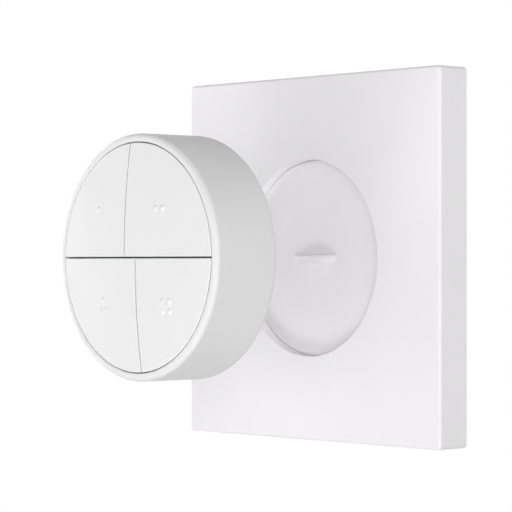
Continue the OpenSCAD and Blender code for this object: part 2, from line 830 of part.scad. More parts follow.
module button_cap(number) {
    i = number - 1;
    color(plastic_white) on_puck() {
        difference() {
            intersection() {
                dome(0, skirt_z);
                cap_share(i, 0);
            }
            intersection() {
                dome(cap_wall, skirt_z - eps);
                cap_share(i, cap_wall);
            }
        }
        intersection() {
            dome(cap_wall / 2, 0);
            union() {
                translate(press_offset * cap_side[i])
                    disc(post_d / 2, plunger_top_z + play, dome_top_z, small_fn);
                for (p = pin_places(i)) translate(p) snap_pin();
            }
        }
        for (p = dots[i]) translate([p[0], p[1], dome_z(p) + dot_h - dot_r])
            rotate([90, 0, 0]) sphere(r = dot_r, $fn = small_fn);
    }
}

front_plate();
back_plate();
adhesive_strips();
keeper_ring();
rear_housing();
foot_ring();
docking_magnets();
housing_screws();
glide_ring();
coin_cell();
positive_contact();
negative_contact();
circuit_board();
radio_module();
switch_bodies();
chip_capacitors();
rotation_sensors();
button_frame();
battery_cover();
dial_ring();
pole_ring();
button_cap(1);  // button_cap_1
button_cap(2);  // button_cap_2
button_cap(3);  // button_cap_3
button_cap(4);  // button_cap_4
switch_plunger(1);  // switch_plunger_1
switch_plunger(2);  // switch_plunger_2
switch_plunger(3);  // switch_plunger_3
switch_plunger(4);  // switch_plunger_4
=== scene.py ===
# %% [markdown]
# # A round dial with four push buttons, lifted off its wall plate
# The object is a white control that docks on a square wall plate. A ring turns round it, and its domed
# front is split into four button caps that are told apart by raised dots. The photograph shows the
# control pulled straight off the plate. The lesson rebuilds every surface that can be seen, piece by
# piece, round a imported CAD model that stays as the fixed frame: each new piece takes its place from that
# frame and moves with one of its bodies.

# %% Load the frame
import math

import bmesh
import bpy
from mathutils import Matrix, Vector


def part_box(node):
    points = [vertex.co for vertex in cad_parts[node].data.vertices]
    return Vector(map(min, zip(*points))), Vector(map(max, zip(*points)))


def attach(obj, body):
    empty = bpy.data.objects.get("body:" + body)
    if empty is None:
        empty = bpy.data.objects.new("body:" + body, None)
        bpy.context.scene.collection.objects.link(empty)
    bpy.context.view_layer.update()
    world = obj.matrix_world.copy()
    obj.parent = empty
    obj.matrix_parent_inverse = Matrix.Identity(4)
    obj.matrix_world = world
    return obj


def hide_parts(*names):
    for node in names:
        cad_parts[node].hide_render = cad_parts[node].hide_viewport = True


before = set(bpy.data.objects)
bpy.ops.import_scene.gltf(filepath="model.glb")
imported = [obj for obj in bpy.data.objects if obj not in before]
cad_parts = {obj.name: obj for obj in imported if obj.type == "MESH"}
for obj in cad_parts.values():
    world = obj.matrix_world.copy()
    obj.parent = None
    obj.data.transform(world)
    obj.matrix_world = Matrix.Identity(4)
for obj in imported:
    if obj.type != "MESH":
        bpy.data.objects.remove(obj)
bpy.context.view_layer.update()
MM = 0.001

# %% [markdown]
# ## Main sizes
# Blender takes the outer sizes from the boxes of the CAD nodes, so the two models cannot drift apart. The
# wall is the plane y = 0 and the front faces -Y, so "further out" means a smaller y.

# %% Read the main sizes off the frame


def node_box(name):
    """Lowest and highest corner of a CAD node at rest."""
    low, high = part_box(name)
    return Vector(low), Vector(high)


plate_low, plate_high = node_box("front_plate")
dial_low, dial_high = node_box("dial_ring")
PLATE_FRONT = plate_low.y
LIP_FRONT = dial_low.y
DIAL_REAR = dial_high.y
DIAL_RADIUS = dial_high.x
CAP_RADIUS = -min(node_box(f"button_cap_{number}")[0].x for number in (1, 2, 3, 4))
print(f"plate {2 * plate_high.x / MM:.1f} mm square, dial {2 * DIAL_RADIUS / MM:.1f} mm across")

# %% [markdown]
# ## Camera
# The plate's four front corners are the best ruler in the photograph: the near upright side is longer
# than the far one, and both are exactly upright, so the camera is level. Solving the corners gives the
# turn, the distance and the focal length at once. A long lens from half a metre keeps the perspective as
# gentle as in the photograph. The lens is shifted up a little, because the camera stands slightly below
# the middle: the control, which is nearer, sits a trace higher in the picture than the middle of the
# plate.

# %% Place the camera
VIEW_TURN = math.radians(48.09)
VIEW_DISTANCE = 515.5 * MM
VIEW_LEFT = 11.4 * MM
VIEW_DROP = 1.4 * MM
LENS = 164.8
LENS_SHIFT = 0.0163
SENSOR_WIDTH = 36.0
CLIP_START = 10 * MM

camera = bpy.data.objects.new("camera", bpy.data.cameras.new("camera"))
bpy.context.scene.collection.objects.link(camera)
bpy.context.scene.camera = camera
camera.data.lens = LENS
camera.data.shift_y = LENS_SHIFT
camera.data.sensor_width = SENSOR_WIDTH
camera.data.clip_start = CLIP_START
look = Vector((-math.sin(VIEW_TURN), math.cos(VIEW_TURN), 0))
right = Vector((math.cos(VIEW_TURN), math.sin(VIEW_TURN), 0))
plate_middle = Vector((0, PLATE_FRONT, 0))
camera.location = plate_middle - VIEW_DISTANCE * look - VIEW_LEFT * right - Vector((0, 0, VIEW_DROP))
camera.rotation_euler = (math.pi / 2, 0, VIEW_TURN)
print("camera at", [round(value, 4) for value in camera.location])

# %% [markdown]
# ## White ground
# The photograph has a pure white ground. More light would whiten the ground too, but it would wash out
# the object with it. So the world shows two sides: the camera, mirrors and glass see a white of strength
# 1, and the rays that light the object meet only a faint pale fill.

# %% Make the world
WORLD_LIGHT = 0.05
GROUND_STRENGTH = 1.0
WHITE = (1, 1, 1, 1)
bpy.context.scene.view_settings.view_transform = "Standard"


def add_node(tree, kind, values=None, **settings):
    """A shader node with its own settings and with values on its inputs."""
    node = tree.nodes.new("ShaderNode" + kind)
    for label, value in settings.items():
        setattr(node, label, value)
    for label, value in (values or {}).items():
        node.inputs[label].default_value = value
    return node


def seen_as_ground(tree):
    """1 for what the camera, mirrors and glass see, 0 for the rays that light the object."""
    rays = add_node(tree, "LightPath")
    seen = rays.outputs["Is Camera Ray"]
    for label in ("Is Glossy Ray", "Is Transmission Ray"):
        either = add_node(tree, "Math", operation="MAXIMUM")
        tree.links.new(seen, either.inputs[0])
        tree.links.new(rays.outputs[label], either.inputs[1])
        seen = either.outputs[0]
    return seen


world = bpy.data.worlds.new("studio")
bpy.context.scene.world = world
world.use_nodes = True
sky = world.node_tree
sky.nodes.clear()
sky_out = add_node(sky, "OutputWorld")
sky_mix = add_node(sky, "MixShader")
soft_fill = add_node(sky, "Background", {"Color": WHITE, "Strength": WORLD_LIGHT})
white_ground = add_node(sky, "Background", {"Color": WHITE, "Strength": GROUND_STRENGTH})
sky.links.new(seen_as_ground(sky), sky_mix.inputs["Fac"])
sky.links.new(soft_fill.outputs[0], sky_mix.inputs[1])
sky.links.new(white_ground.outputs[0], sky_mix.inputs[2])
sky.links.new(sky_mix.outputs[0], sky_out.inputs["Surface"])
print("world seen at", GROUND_STRENGTH, "and lighting at", WORLD_LIGHT)

# %% [markdown]
# ## Studio light
# The light in the photograph is very soft and comes from all round: the two sides of the ring are
# brighter than its top and its bottom, and the rib throws its soft shadow upwards. An even dome of light
# would be softer still, but it would throw no shadow. So wide panels stand at both sides and in front,
# and a smaller panel shines up from below, in front. One more lights the back, which the photograph
# doesn't show.

# %% Hang the panels
OBJECT_MIDDLE = Vector((0, -0.025, 0))
PANEL_DISTANCE = 1.0
PANEL_SIZE = 0.8
SMALL_PANEL_SIZE = 0.4


def add_panel(name, turn, rise, watts, size=PANEL_SIZE):
    """A square lamp that looks at the object. turn goes from straight in front to the right, rise goes up."""
    panel = bpy.data.lights.new(name, "AREA")
    panel.size = size
    panel.energy = watts
    lamp = bpy.data.objects.new(name, panel)
    bpy.context.scene.collection.objects.link(lamp)
    turn, rise = math.radians(turn), math.radians(rise)
    towards = Vector((math.cos(rise) * math.sin(turn), -math.cos(rise) * math.cos(turn), math.sin(rise)))
    lamp.location = OBJECT_MIDDLE + PANEL_DISTANCE * towards
    lamp.rotation_euler = towards.to_track_quat("Z", "Y").to_euler()
    print(f"{name}: {watts} W from {[round(value, 2) for value in lamp.location]}")


add_panel("left_panel", -80, 10, 6.0)
add_panel("front_left_panel", -20, 10, 1.5)
add_panel("front_panel", 10, -15, 2.15)
add_panel("front_right_panel", 40, 6, 1.85)
add_panel("right_panel", 70, 8, 6.7)
add_panel("low_panel", -20, -55, 3.1, SMALL_PANEL_SIZE)
add_panel("back_panel", 180, 10, 6.5)

# %% [markdown]
# ## Floor
# Such a plate hangs about a metre above the floor, so the floor lies far below it, out of the camera's
# view. It stays in the scene for views from above. A huge plane would need no fade, but its horizon would
# show in low views. So it is a disc: its middle is plain pale grey and takes the shadow, and towards its
# rim it fades into the white ground, so that no edge of it shows.

# %% Lay the floor
FLOOR_DROP = 1.1
FLOOR_RADIUS = 1.4
FLOOR_SIDES = 96


def deselect():
    """Ends edit mode and clears the selection, so the next operator acts on the new piece alone."""
    if bpy.context.object and bpy.context.object.mode != "OBJECT":
        bpy.ops.object.mode_set(mode="OBJECT")
    bpy.ops.object.select_all(action="DESELECT")


deselect()
bpy.ops.mesh.primitive_circle_add(vertices=FLOOR_SIDES, radius=FLOOR_RADIUS, fill_type="NGON",
                                  location=(0, 0, -FLOOR_DROP))
floor = bpy.context.object
floor.name = "floor"
bpy.ops.object.transform_apply(location=True)
print("floor", FLOOR_DROP, "m below the middle of the plate")

# %% Fade the floor into the ground
FADE_START = 0.3 * FLOOR_RADIUS
FADE_END = 0.95 * FLOOR_RADIUS
floor_pale = bpy.data.materials.new("floor_pale")
floor_pale.use_nodes = True
ground = floor_pale.node_tree
matt = ground.nodes["Principled BSDF"]
matt.inputs["Base Color"].default_value = (0.9, 0.9, 0.9, 1)
matt.inputs["Roughness"].default_value = 0.8
floor_place = add_node(ground, "TexCoord")
level = add_node(ground, "VectorMath", {1: (1, 1, 0)}, operation="MULTIPLY")
distance = add_node(ground, "VectorMath", operation="LENGTH")
fade = add_node(ground, "MapRange", {"From Min": FADE_START, "From Max": FADE_END},
                interpolation_type="SMOOTHSTEP")
seen_fade = add_node(ground, "Math", operation="MULTIPLY")
glow = add_node(ground, "Emission")
blend = add_node(ground, "MixShader")
ground.links.new(floor_place.outputs["Object"], level.inputs[0])
ground.links.new(level.outputs["Vector"], distance.inputs[0])
ground.links.new(distance.outputs["Value"], fade.inputs["Value"])
ground.links.new(fade.outputs["Result"], seen_fade.inputs[0])
ground.links.new(seen_as_ground(ground), seen_fade.inputs[1])
ground.links.new(seen_fade.outputs[0], blend.inputs["Fac"])
ground.links.new(matt.outputs[0], blend.inputs[1])
ground.links.new(glow.outputs[0], blend.inputs[2])
ground.links.new(blend.outputs[0], ground.nodes["Material Output"].inputs["Surface"])
floor.data.materials.append(floor_pale)
print(f"floor fades from {FADE_START:.2f} m to {FADE_END:.2f} m off its middle")

# %% [markdown]
# ## Moulded plastic
# White switch plastic is never one flat white. The steel mould is spark-eroded, which leaves a grain much
# finer than a hair, and the melt cools unevenly, which leaves broad, very faint changes of tone and
# gloss. Two noise textures can be wired into each material by hand, but the plate, the dial and the caps
# share the effect, so it is built once as a node group with the amounts as inputs. The dark chips, the
# ferrite and the rubber are moulded too and use the same group.

# %% Node helpers
NOISE_LOW = 0.3
NOISE_HIGH = 0.7
FINISH_OUTPUTS = (
    ("Colour", "NodeSocketColor"),
    ("Roughness", "NodeSocketFloat"),
    ("Height", "NodeSocketFloat"),
)


def new_group(name, inputs):
    """A shader node group that puts out a finish. Returns the tree and its two end nodes."""
    tree = bpy.data.node_groups.new(name, "ShaderNodeTree")
    for label, kind, value in inputs:
        socket = tree.interface.new_socket(label, in_out="INPUT", socket_type=kind)
        socket.default_value = value
    for label, kind in FINISH_OUTPUTS:
        tree.interface.new_socket(label, in_out="OUTPUT", socket_type=kind)
    return tree, tree.nodes.new("NodeGroupInput"), tree.nodes.new("NodeGroupOutput")


def object_noise(tree, detail):
    """A noise texture on Object coordinates, so that the pattern keeps still when the piece moves."""
    place = add_node(tree, "TexCoord")
    noise = add_node(tree, "TexNoise", {"Detail": detail})
    tree.links.new(place.outputs["Object"], noise.inputs["Vector"])
    return noise


def spread(tree, source, low, high):
    """Maps a noise value, which stays near the middle, onto the range between two sockets or numbers."""
    node = add_node(tree, "MapRange", {"From Min": NOISE_LOW, "From Max": NOISE_HIGH})
    tree.links.new(source, node.inputs["Value"])
    for label, value in (("To Min", low), ("To Max", high)):
        if isinstance(value, (int, float)):
            node.inputs[label].default_value = value
        else:
            tree.links.new(value, node.inputs[label])
    return node.outputs["Result"]


def colour_mix(tree, factor, first, second):
    """Blends two colour sockets."""
    node = add_node(tree, "Mix", data_type="RGBA")
    tree.links.new(factor, node.inputs["Factor"])
    tree.links.new(first, node.inputs["A"])
    tree.links.new(second, node.inputs["B"])
    return node.outputs["Result"]


# %% Build the moulded grain group
moulded, moulded_in, moulded_out = new_group(
    "moulded_grain",
    [
        ("Tone", "NodeSocketColor", (0.8, 0.8, 0.8, 1)),
        ("Cooler Tone", "NodeSocketColor", (0.78, 0.78, 0.78, 1)),
        ("Mottle Scale", "NodeSocketFloat", 70.0),
        ("Grain Scale", "NodeSocketFloat", 4500.0),
        ("Roughness Low", "NodeSocketFloat", 0.4),
        ("Roughness High", "NodeSocketFloat", 0.5),
    ],
)
mottle = object_noise(moulded, detail=2.0)
moulded.links.new(moulded_in.outputs["Mottle Scale"], mottle.inputs["Scale"])
grain = object_noise(moulded, detail=1.0)
moulded.links.new(moulded_in.outputs["Grain Scale"], grain.inputs["Scale"])
tone_share = spread(moulded, mottle.outputs["Fac"], 0.0, 1.0)
moulded_tone = colour_mix(moulded, tone_share, moulded_in.outputs["Tone"], moulded_in.outputs["Cooler Tone"])
moulded_gloss = spread(
    moulded, mottle.outputs["Fac"], moulded_in.outputs["Roughness Low"], moulded_in.outputs["Roughness High"],
)
moulded.links.new(moulded_tone, moulded_out.inputs["Colour"])
moulded.links.new(moulded_gloss, moulded_out.inputs["Roughness"])
moulded.links.new(grain.outputs["Fac"], moulded_out.inputs["Height"])
print("group", moulded.name, "with", len(moulded.nodes), "nodes")

# %% [markdown]
# ## White, grey and dark plastics
# The plate, the shell of the control and the caps are three slightly different whites. The plate's whites
# carry a trace of rose, which is painted light: the tint of the rosy light that falls on the plate. One
# function makes every finish from a group: what changes over the surface comes out of the group, and what is
# the same all over stays a plain number on the shader, where the export can read it.

# %% Make the white plastics
BUMP_STRENGTH = 0.5
FINE_GRAIN = 0.006 * MM
SOFT_GLOSS = 0.3
# The rose tint is painted light: the colour of the rosy light that falls on the plate, put into its whites.
PAINTED_ROSE_LIGHT = (1.0, 0.985, 1.0)


def finish_from(group, name, values, bump_depth, **constants):
    """A material with colour, roughness and bump from a group, and plain numbers on the shader itself."""
    material = bpy.data.materials.new(name + "_finish")
    material.use_nodes = True
    tree = material.node_tree
    shader = tree.nodes["Principled BSDF"]
    effect = add_node(tree, "Group", values, node_tree=group)
    bump = add_node(tree, "Bump", {"Strength": BUMP_STRENGTH, "Distance": bump_depth})
    tree.links.new(effect.outputs["Colour"], shader.inputs["Base Color"])
    tree.links.new(effect.outputs["Roughness"], shader.inputs["Roughness"])
    tree.links.new(effect.outputs["Height"], bump.inputs["Height"])
    tree.links.new(bump.outputs["Normal"], shader.inputs["Normal"])
    for label, value in constants.items():
        shader.inputs[label.replace("_", " ")].default_value = value
    print("finish", material.name)
    return material


def grey(level, tint=(1.0, 1.0, 1.0)):
    """A grey with a faint tint, as a colour with alpha."""
    return (level * tint[0], level * tint[1], level * tint[2], 1.0)


# Both whites of the plate carry the painted rose light.
plate_white = finish_from(
    moulded, "plate_white",
    {"Tone": grey(0.9, PAINTED_ROSE_LIGHT), "Cooler Tone": grey(0.885, PAINTED_ROSE_LIGHT), "Roughness Low": 0.42, "Roughness High": 0.5},
    FINE_GRAIN, Specular_IOR_Level=SOFT_GLOSS,
)
shell_white = finish_from(
    moulded, "shell_white",
    {"Tone": grey(0.845), "Cooler Tone": grey(0.83), "Roughness Low": 0.42, "Roughness High": 0.5},
    FINE_GRAIN, Specular_IOR_Level=SOFT_GLOSS,
)
cap_white = finish_from(
    moulded, "cap_white",
    {"Tone": grey(0.86), "Cooler Tone": grey(0.85), "Mottle Scale": 90.0, "Roughness Low": 0.45,
     "Roughness High": 0.52},
    FINE_GRAIN, Specular_IOR_Level=SOFT_GLOSS,
)

# %% Make the grey and dark plastics
COOL = (0.99, 0.995, 1.0)
ICE = (0.97, 0.99, 1.0)
DEEP_ICE = (0.96, 0.99, 1.0)
inner_plastic = finish_from(
    moulded, "inner_plastic",
    {"Tone": grey(0.56, COOL), "Cooler Tone": grey(0.52, COOL), "Roughness Low": 0.45,
     "Roughness High": 0.58},
    bump_depth=0.01 * MM,
)
glide_plastic = finish_from(
    moulded, "glide_plastic",
    {"Tone": grey(0.64, ICE), "Cooler Tone": grey(0.6, DEEP_ICE), "Roughness Low": 0.22,
     "Roughness High": 0.3},
    bump_depth=0.002 * MM,
)
chip_black = finish_from(
    moulded, "chip_black",
    {"Tone": grey(0.02), "Cooler Tone": grey(0.028), "Grain Scale": 9000.0, "Roughness Low": 0.5,
     "Roughness High": 0.65},
    bump_depth=0.008 * MM,
)
chip_brown = finish_from(
    moulded, "chip_brown",
    {"Tone": (0.17, 0.1, 0.05, 1), "Cooler Tone": (0.2, 0.125, 0.065, 1), "Mottle Scale": 900.0,
     "Roughness Low": 0.5, "Roughness High": 0.6},
    bump_depth=0.006 * MM,
)
ferrite = finish_from(
    moulded, "ferrite",
    {"Tone": grey(0.022), "Cooler Tone": grey(0.035), "Mottle Scale": 1200.0, "Grain Scale": 7000.0,
     "Roughness Low": 0.55, "Roughness High": 0.7},
    bump_depth=0.015 * MM,
)
rubber_grey = finish_from(
    moulded, "rubber_grey",
    {"Tone": grey(0.15, COOL), "Cooler Tone": grey(0.17, COOL), "Mottle Scale": 120.0, "Grain Scale": 2600.0,
     "Roughness Low": 0.72, "Roughness High": 0.85},
    bump_depth=0.02 * MM,
)

# %% [markdown]
# ## Foam
# Adhesive foam shows closed cells where it is cut. Noise would make it look like felt, so a cell texture
# shades it and dents it.

# %% Make the foam
foam, foam_in, foam_out = new_group(
    "foam_cells",
    [
        ("Tone", "NodeSocketColor", (0.7, 0.7, 0.68, 1)),
        ("Cell Tone", "NodeSocketColor", (0.6, 0.6, 0.58, 1)),
        ("Cell Scale", "NodeSocketFloat", 1400.0),
    ],
)
foam_place = add_node(foam, "TexCoord")
cells = add_node(foam, "TexVoronoi")
cell_share = cells.outputs["Distance"]
foam.links.new(foam_place.outputs["Object"], cells.inputs["Vector"])
foam.links.new(foam_in.outputs["Cell Scale"], cells.inputs["Scale"])
foam_tone = colour_mix(foam, cell_share, foam_in.outputs["Cell Tone"], foam_in.outputs["Tone"])
foam.links.new(foam_tone, foam_out.inputs["Colour"])
foam.links.new(spread(foam, cell_share, 0.8, 0.92), foam_out.inputs["Roughness"])
foam.links.new(cell_share, foam_out.inputs["Height"])
adhesive_foam = finish_from(
    foam, "adhesive_foam",
    {"Tone": (0.8, 0.8, 0.775, 1), "Cell Tone": (0.68, 0.68, 0.655, 1)},
    bump_depth=0.05 * MM,
)

# %% [markdown]
# ## Plated metal
# Plated sheet shows fine streaks along the direction in which it was drawn. Anisotropic gloss gives a
# similar shine, but no streaks close up, so a stretched noise draws them in colour, gloss and height. The
# steel, the magnets and the contacts share it with their own tones.

# %% Build the drawn metal group
STREAK_STRETCH = (0.06, 1.0, 1.0)
drawn, drawn_in, drawn_out = new_group(
    "drawn_metal",
    [
        ("Tone", "NodeSocketColor", (0.6, 0.6, 0.62, 1)),
        ("Streak Tone", "NodeSocketColor", (0.5, 0.5, 0.52, 1)),
        ("Streak Scale", "NodeSocketFloat", 500.0),
        ("Roughness Low", "NodeSocketFloat", 0.22),
        ("Roughness High", "NodeSocketFloat", 0.36),
    ],
)
drawn_place = add_node(drawn, "TexCoord")
drawn_stretch = add_node(drawn, "Mapping", {"Scale": STREAK_STRETCH})
streaks = add_node(drawn, "TexNoise", {"Detail": 3.0})
drawn.links.new(drawn_place.outputs["Object"], drawn_stretch.inputs["Vector"])
drawn.links.new(drawn_stretch.outputs["Vector"], streaks.inputs["Vector"])
drawn.links.new(drawn_in.outputs["Streak Scale"], streaks.inputs["Scale"])
streak_share = spread(drawn, streaks.outputs["Fac"], 0.0, 1.0)
drawn_tone = colour_mix(drawn, streak_share, drawn_in.outputs["Tone"], drawn_in.outputs["Streak Tone"])
drawn_gloss = spread(
    drawn, streaks.outputs["Fac"], drawn_in.outputs["Roughness Low"], drawn_in.outputs["Roughness High"],
)
drawn.links.new(drawn_tone, drawn_out.inputs["Colour"])
drawn.links.new(drawn_gloss, drawn_out.inputs["Roughness"])
drawn.links.new(streaks.outputs["Fac"], drawn_out.inputs["Height"])
print("group", drawn.name, "with", len(drawn.nodes), "nodes")

# %% Make the metals
steel = finish_from(
    drawn, "steel",
    {"Tone": (0.6, 0.61, 0.63, 1), "Streak Tone": (0.52, 0.53, 0.55, 1)},
    bump_depth=0.003 * MM, Metallic=1.0,
)
magnet = finish_from(
    drawn, "magnet",
    {"Tone": (0.5, 0.49, 0.47, 1), "Streak Tone": (0.44, 0.43, 0.42, 1), "Streak Scale": 900.0,
     "Roughness Low": 0.16, "Roughness High": 0.26},
    bump_depth=0.002 * MM, Metallic=1.0,
)
contact_metal = finish_from(
    drawn, "contact_metal",
    {"Tone": (0.72, 0.53, 0.24, 1), "Streak Tone": (0.62, 0.44, 0.19, 1), "Streak Scale": 1500.0,
     "Roughness Low": 0.24, "Roughness High": 0.34},
    bump_depth=0.002 * MM, Metallic=1.0,
)

# %% [markdown]
# ## Circuit board
# The board's solder mask lies over copper traces, so the green is lighter, and stands a little higher,
# where a trace runs under it. The traces could be drawn one by one. A brick texture turned onto the board
# gives lines and steps that read the same, and only this board uses it, so it needs no group.

# %% Make the board
TRACE_SCALE = 260.0
TRACE_WIDTH = 0.03
TRACE_HEIGHT = 0.03 * MM
board = bpy.data.materials.new("board_finish")
board.use_nodes = True
mask_tree = board.node_tree
mask_shader = mask_tree.nodes["Principled BSDF"]
mask_shader.inputs["Roughness"].default_value = 0.32
mask_place = add_node(mask_tree, "TexCoord")
mask_turn = add_node(mask_tree, "Mapping", {"Rotation": (math.pi / 2, 0, 0)})
traces = add_node(
    mask_tree, "TexBrick",
    {"Color1": (0.012, 0.11, 0.035, 1), "Color2": (0.016, 0.13, 0.042, 1), "Mortar": (0.035, 0.2, 0.075, 1),
     "Scale": TRACE_SCALE, "Mortar Size": TRACE_WIDTH},
)
traces_bump = add_node(mask_tree, "Bump", {"Strength": 0.4, "Distance": TRACE_HEIGHT})
mask_tree.links.new(mask_place.outputs["Object"], mask_turn.inputs["Vector"])
mask_tree.links.new(mask_turn.outputs["Vector"], traces.inputs["Vector"])
mask_tree.links.new(traces.outputs["Color"], mask_shader.inputs["Base Color"])
mask_tree.links.new(traces.outputs["Fac"], traces_bump.inputs["Height"])
mask_tree.links.new(traces_bump.outputs["Normal"], mask_shader.inputs["Normal"])
print("finish", board.name)

# %% [markdown]
# ## Tools for shaping
# By hand, each piece takes the same few moves: add a primitive, select some faces or edges, press a key,
# shade the result. These helpers are those moves in code. With no mouse, parts of a mesh are selected by
# their place or by the way they face. The last helper closes a piece: it turns its faces outwards,
# smooths its rounded edges while its flats stay flat, and ties it to its finish and its body.

# %% Start and select
PLACE_SLACK = 0.02 * MM
FACING = 0.9


def start(name):
    """Names the primitive that was just added and puts its place into its mesh."""
    piece = bpy.context.object
    piece.name = name
    piece.data.name = name
    bpy.ops.object.transform_apply(location=True, rotation=True, scale=True)
    return piece


def edit(piece):
    """Enters edit mode on one piece alone."""
    deselect()
    bpy.context.view_layer.objects.active = piece
    piece.select_set(True)
    bpy.ops.object.mode_set(mode="EDIT")


def pick(piece, kind, test):
    """Selects the vertices, edges or faces of a piece in edit mode that pass the test. Returns how many."""
    bpy.ops.mesh.select_mode(type=kind)
    shape = bmesh.from_edit_mesh(piece.data)
    for part in (*shape.verts, *shape.edges, *shape.faces):
        part.select = False
    parts = {"VERT": shape.verts, "EDGE": shape.edges, "FACE": shape.faces}[kind]
    chosen = [part for part in parts if test(part)]
    for part in chosen:
        part.select_set(True)
    shape.select_flush_mode()
    bmesh.update_edit_mesh(piece.data)
    return len(chosen)


def near(value, target, slack=PLACE_SLACK):
    """True where a coordinate is at its target."""
    return abs(value - target) < slack


def edge_at_y(edge, y):
    """True where an edge lies in the plane at this y."""
    return all(near(vert.co.y, y) for vert in edge.verts)


# %% Close a piece
MERGE_DISTANCE = 0.001 * MM
SMOOTH_ANGLE = 35.0


def face_outwards():
    """Merges doubled corners of the piece in edit mode and turns all its faces outwards."""
    bpy.ops.mesh.select_all(action="SELECT")
    bpy.ops.mesh.remove_doubles(threshold=MERGE_DISTANCE)
    bpy.ops.mesh.select_all(action="SELECT")
    bpy.ops.mesh.normals_make_consistent(inside=False)


def done(piece, material, slot, body, *replaced, smooth=SMOOTH_ANGLE):
    """Closes a piece: normals outwards, rounded edges smooth, flats even, then its finish and its body."""
    edit(piece)
    face_outwards()
    bpy.ops.object.mode_set(mode="OBJECT")
    bpy.ops.object.shade_smooth_by_angle(angle=math.radians(smooth))
    bpy.ops.object.modifier_add(type="WEIGHTED_NORMAL")
    piece.modifiers[-1].keep_sharp = True
    bpy.ops.object.modifier_apply(modifier=piece.modifiers[-1].name)
    piece.data.materials.clear()
    piece.data.materials.append(material)
    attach(piece, body)
    if replaced:
        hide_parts(*replaced)
    shape = bmesh.new()
    shape.from_mesh(piece.data)
    open_edges = sum(not side.is_manifold for side in shape.edges)
    volume = shape.calc_volume() / MM ** 3
    shape.free()
    print(f"{piece.name}: {len(piece.data.polygons)} faces, {open_edges} open edges, {volume:.0f} mm3")


# %% [markdown]
# ## Wall plate
# The plate is a thin square moulding with softly rounded edges, hollow at the back, with a round dish in
# its front. It could be drawn as an outline and extruded, but a block shows the order in which the real
# mould is cut: the hollow, then the outline's corners, then the front edge, then the dish. The dish is a
# boolean cut with a fine cylinder. Its rim gets a small radius, and its floor is a disc with a hair-fine
# seam round it, which draws the dark line where floor and wall meet.

# %% Plate block
PLATE_CORNER = 1.0 * MM
PLATE_EDGE = 0.7 * MM
PLATE_WALL = 1.8 * MM
plate_size = plate_high - plate_low


def block(name, middle, size):
    """A block of a size about its middle."""
    deselect()
    bpy.ops.mesh.primitive_cube_add(size=1.0, location=middle, scale=size)
    return start(name)


def runs_back(edge):
    """True where an edge runs straight from front to back."""
    front, back = (vert.co for vert in edge.verts)
    return near(front.x, back.x) and near(front.z, back.z)


plate = block("plate_shell", (plate_low + plate_high) / 2, plate_size)
edit(plate)
pick(plate, "FACE", lambda face: face.normal.y > FACING)
bpy.ops.mesh.inset(thickness=PLATE_WALL)
bpy.ops.mesh.extrude_region_move(TRANSFORM_OT_translate={"value": (0, PLATE_WALL - plate_size.y, 0)})
pick(plate, "EDGE", lambda edge: runs_back(edge) and near(abs(edge.verts[0].co.x), plate_high.x))
bpy.ops.mesh.bevel(offset=PLATE_CORNER, segments=8, affect="EDGES")
front_edges = pick(plate, "EDGE", lambda edge: edge_at_y(edge, PLATE_FRONT))
bpy.ops.mesh.bevel(offset=PLATE_EDGE, segments=6, affect="EDGES")
print("front edge of", front_edges, "sides rounded")

# %% Cutting tools
TURN_STEPS = 192


def drum(name, radius, y_out, y_in):
    """A cylinder along the object's axis, from the outer y to the inner y."""
    deselect()
    bpy.ops.mesh.primitive_cylinder_add(vertices=TURN_STEPS, radius=radius, depth=y_in - y_out,
                                        location=(0, (y_out + y_in) / 2, 0), rotation=(math.pi / 2, 0, 0))
    return start(name)


def cut(piece, tool, operation):
    """Adds, cuts or keeps the shape of a tool object, then removes the tool."""
    deselect()
    bpy.context.view_layer.objects.active = piece
    piece.select_set(True)
    bpy.ops.object.modifier_add(type="BOOLEAN")
    joiner = piece.modifiers[-1]
    joiner.operation = operation
    joiner.object = tool
    joiner.solver = "EXACT"
    bpy.ops.object.modifier_apply(modifier=joiner.name)
    bpy.data.objects.remove(tool, do_unlink=True)


# %% Plate dish
DISH_RADIUS = 21.6 * MM
DISH_DEPTH = 2.3 * MM
DISH_FLOOR = 1.4 * MM
DISH_RIM_ROUND = 0.25 * MM
SEAM_WIDTH = 0.15 * MM
SEAM_DEPTH = 0.3 * MM
OVERCUT = 1.0 * MM
DISH_BOTTOM = PLATE_FRONT + DISH_DEPTH


def edge_at_radius(edge, radius):
    """True where an edge lies on a cylinder round the object's axis."""
    return all(near(math.hypot(vert.co.x, vert.co.z), radius) for vert in edge.verts)


cup = drum("dish_cup", DISH_RADIUS + DISH_FLOOR, PLATE_FRONT + PLATE_WALL / 2, DISH_BOTTOM + DISH_FLOOR)
cut(plate, cup, "UNION")
dish_cutter = drum("dish_cutter", DISH_RADIUS, PLATE_FRONT - OVERCUT, DISH_BOTTOM + SEAM_DEPTH)
cut(plate, dish_cutter, "DIFFERENCE")
floor_disc = drum("dish_floor", DISH_RADIUS - SEAM_WIDTH, DISH_BOTTOM, DISH_BOTTOM + 2 * SEAM_DEPTH)
cut(plate, floor_disc, "UNION")
edit(plate)
rim = pick(plate, "EDGE", lambda edge: edge_at_y(edge, PLATE_FRONT) and edge_at_radius(edge, DISH_RADIUS))
bpy.ops.mesh.bevel(offset=DISH_RIM_ROUND, segments=4, affect="EDGES")
print("dish rim of", rim, "sides")
done(plate, plate_white, "shell_white", "wall_plate", "front_plate")

# %% [markdown]
# ## Docking rib
# A half-moon rib stands in the middle of the dish. It fits the coin slot of the battery cover, so the
# control docks level. A slice of a cylinder would have its outline, but the photograph shows no dark line
# at its foot, so its flanks run out softly into the floor. A fine grid is laid on the floor for it, and
# every point moves out by the height of the rib there: a flat arc along the rib, times a soft step across
# it.

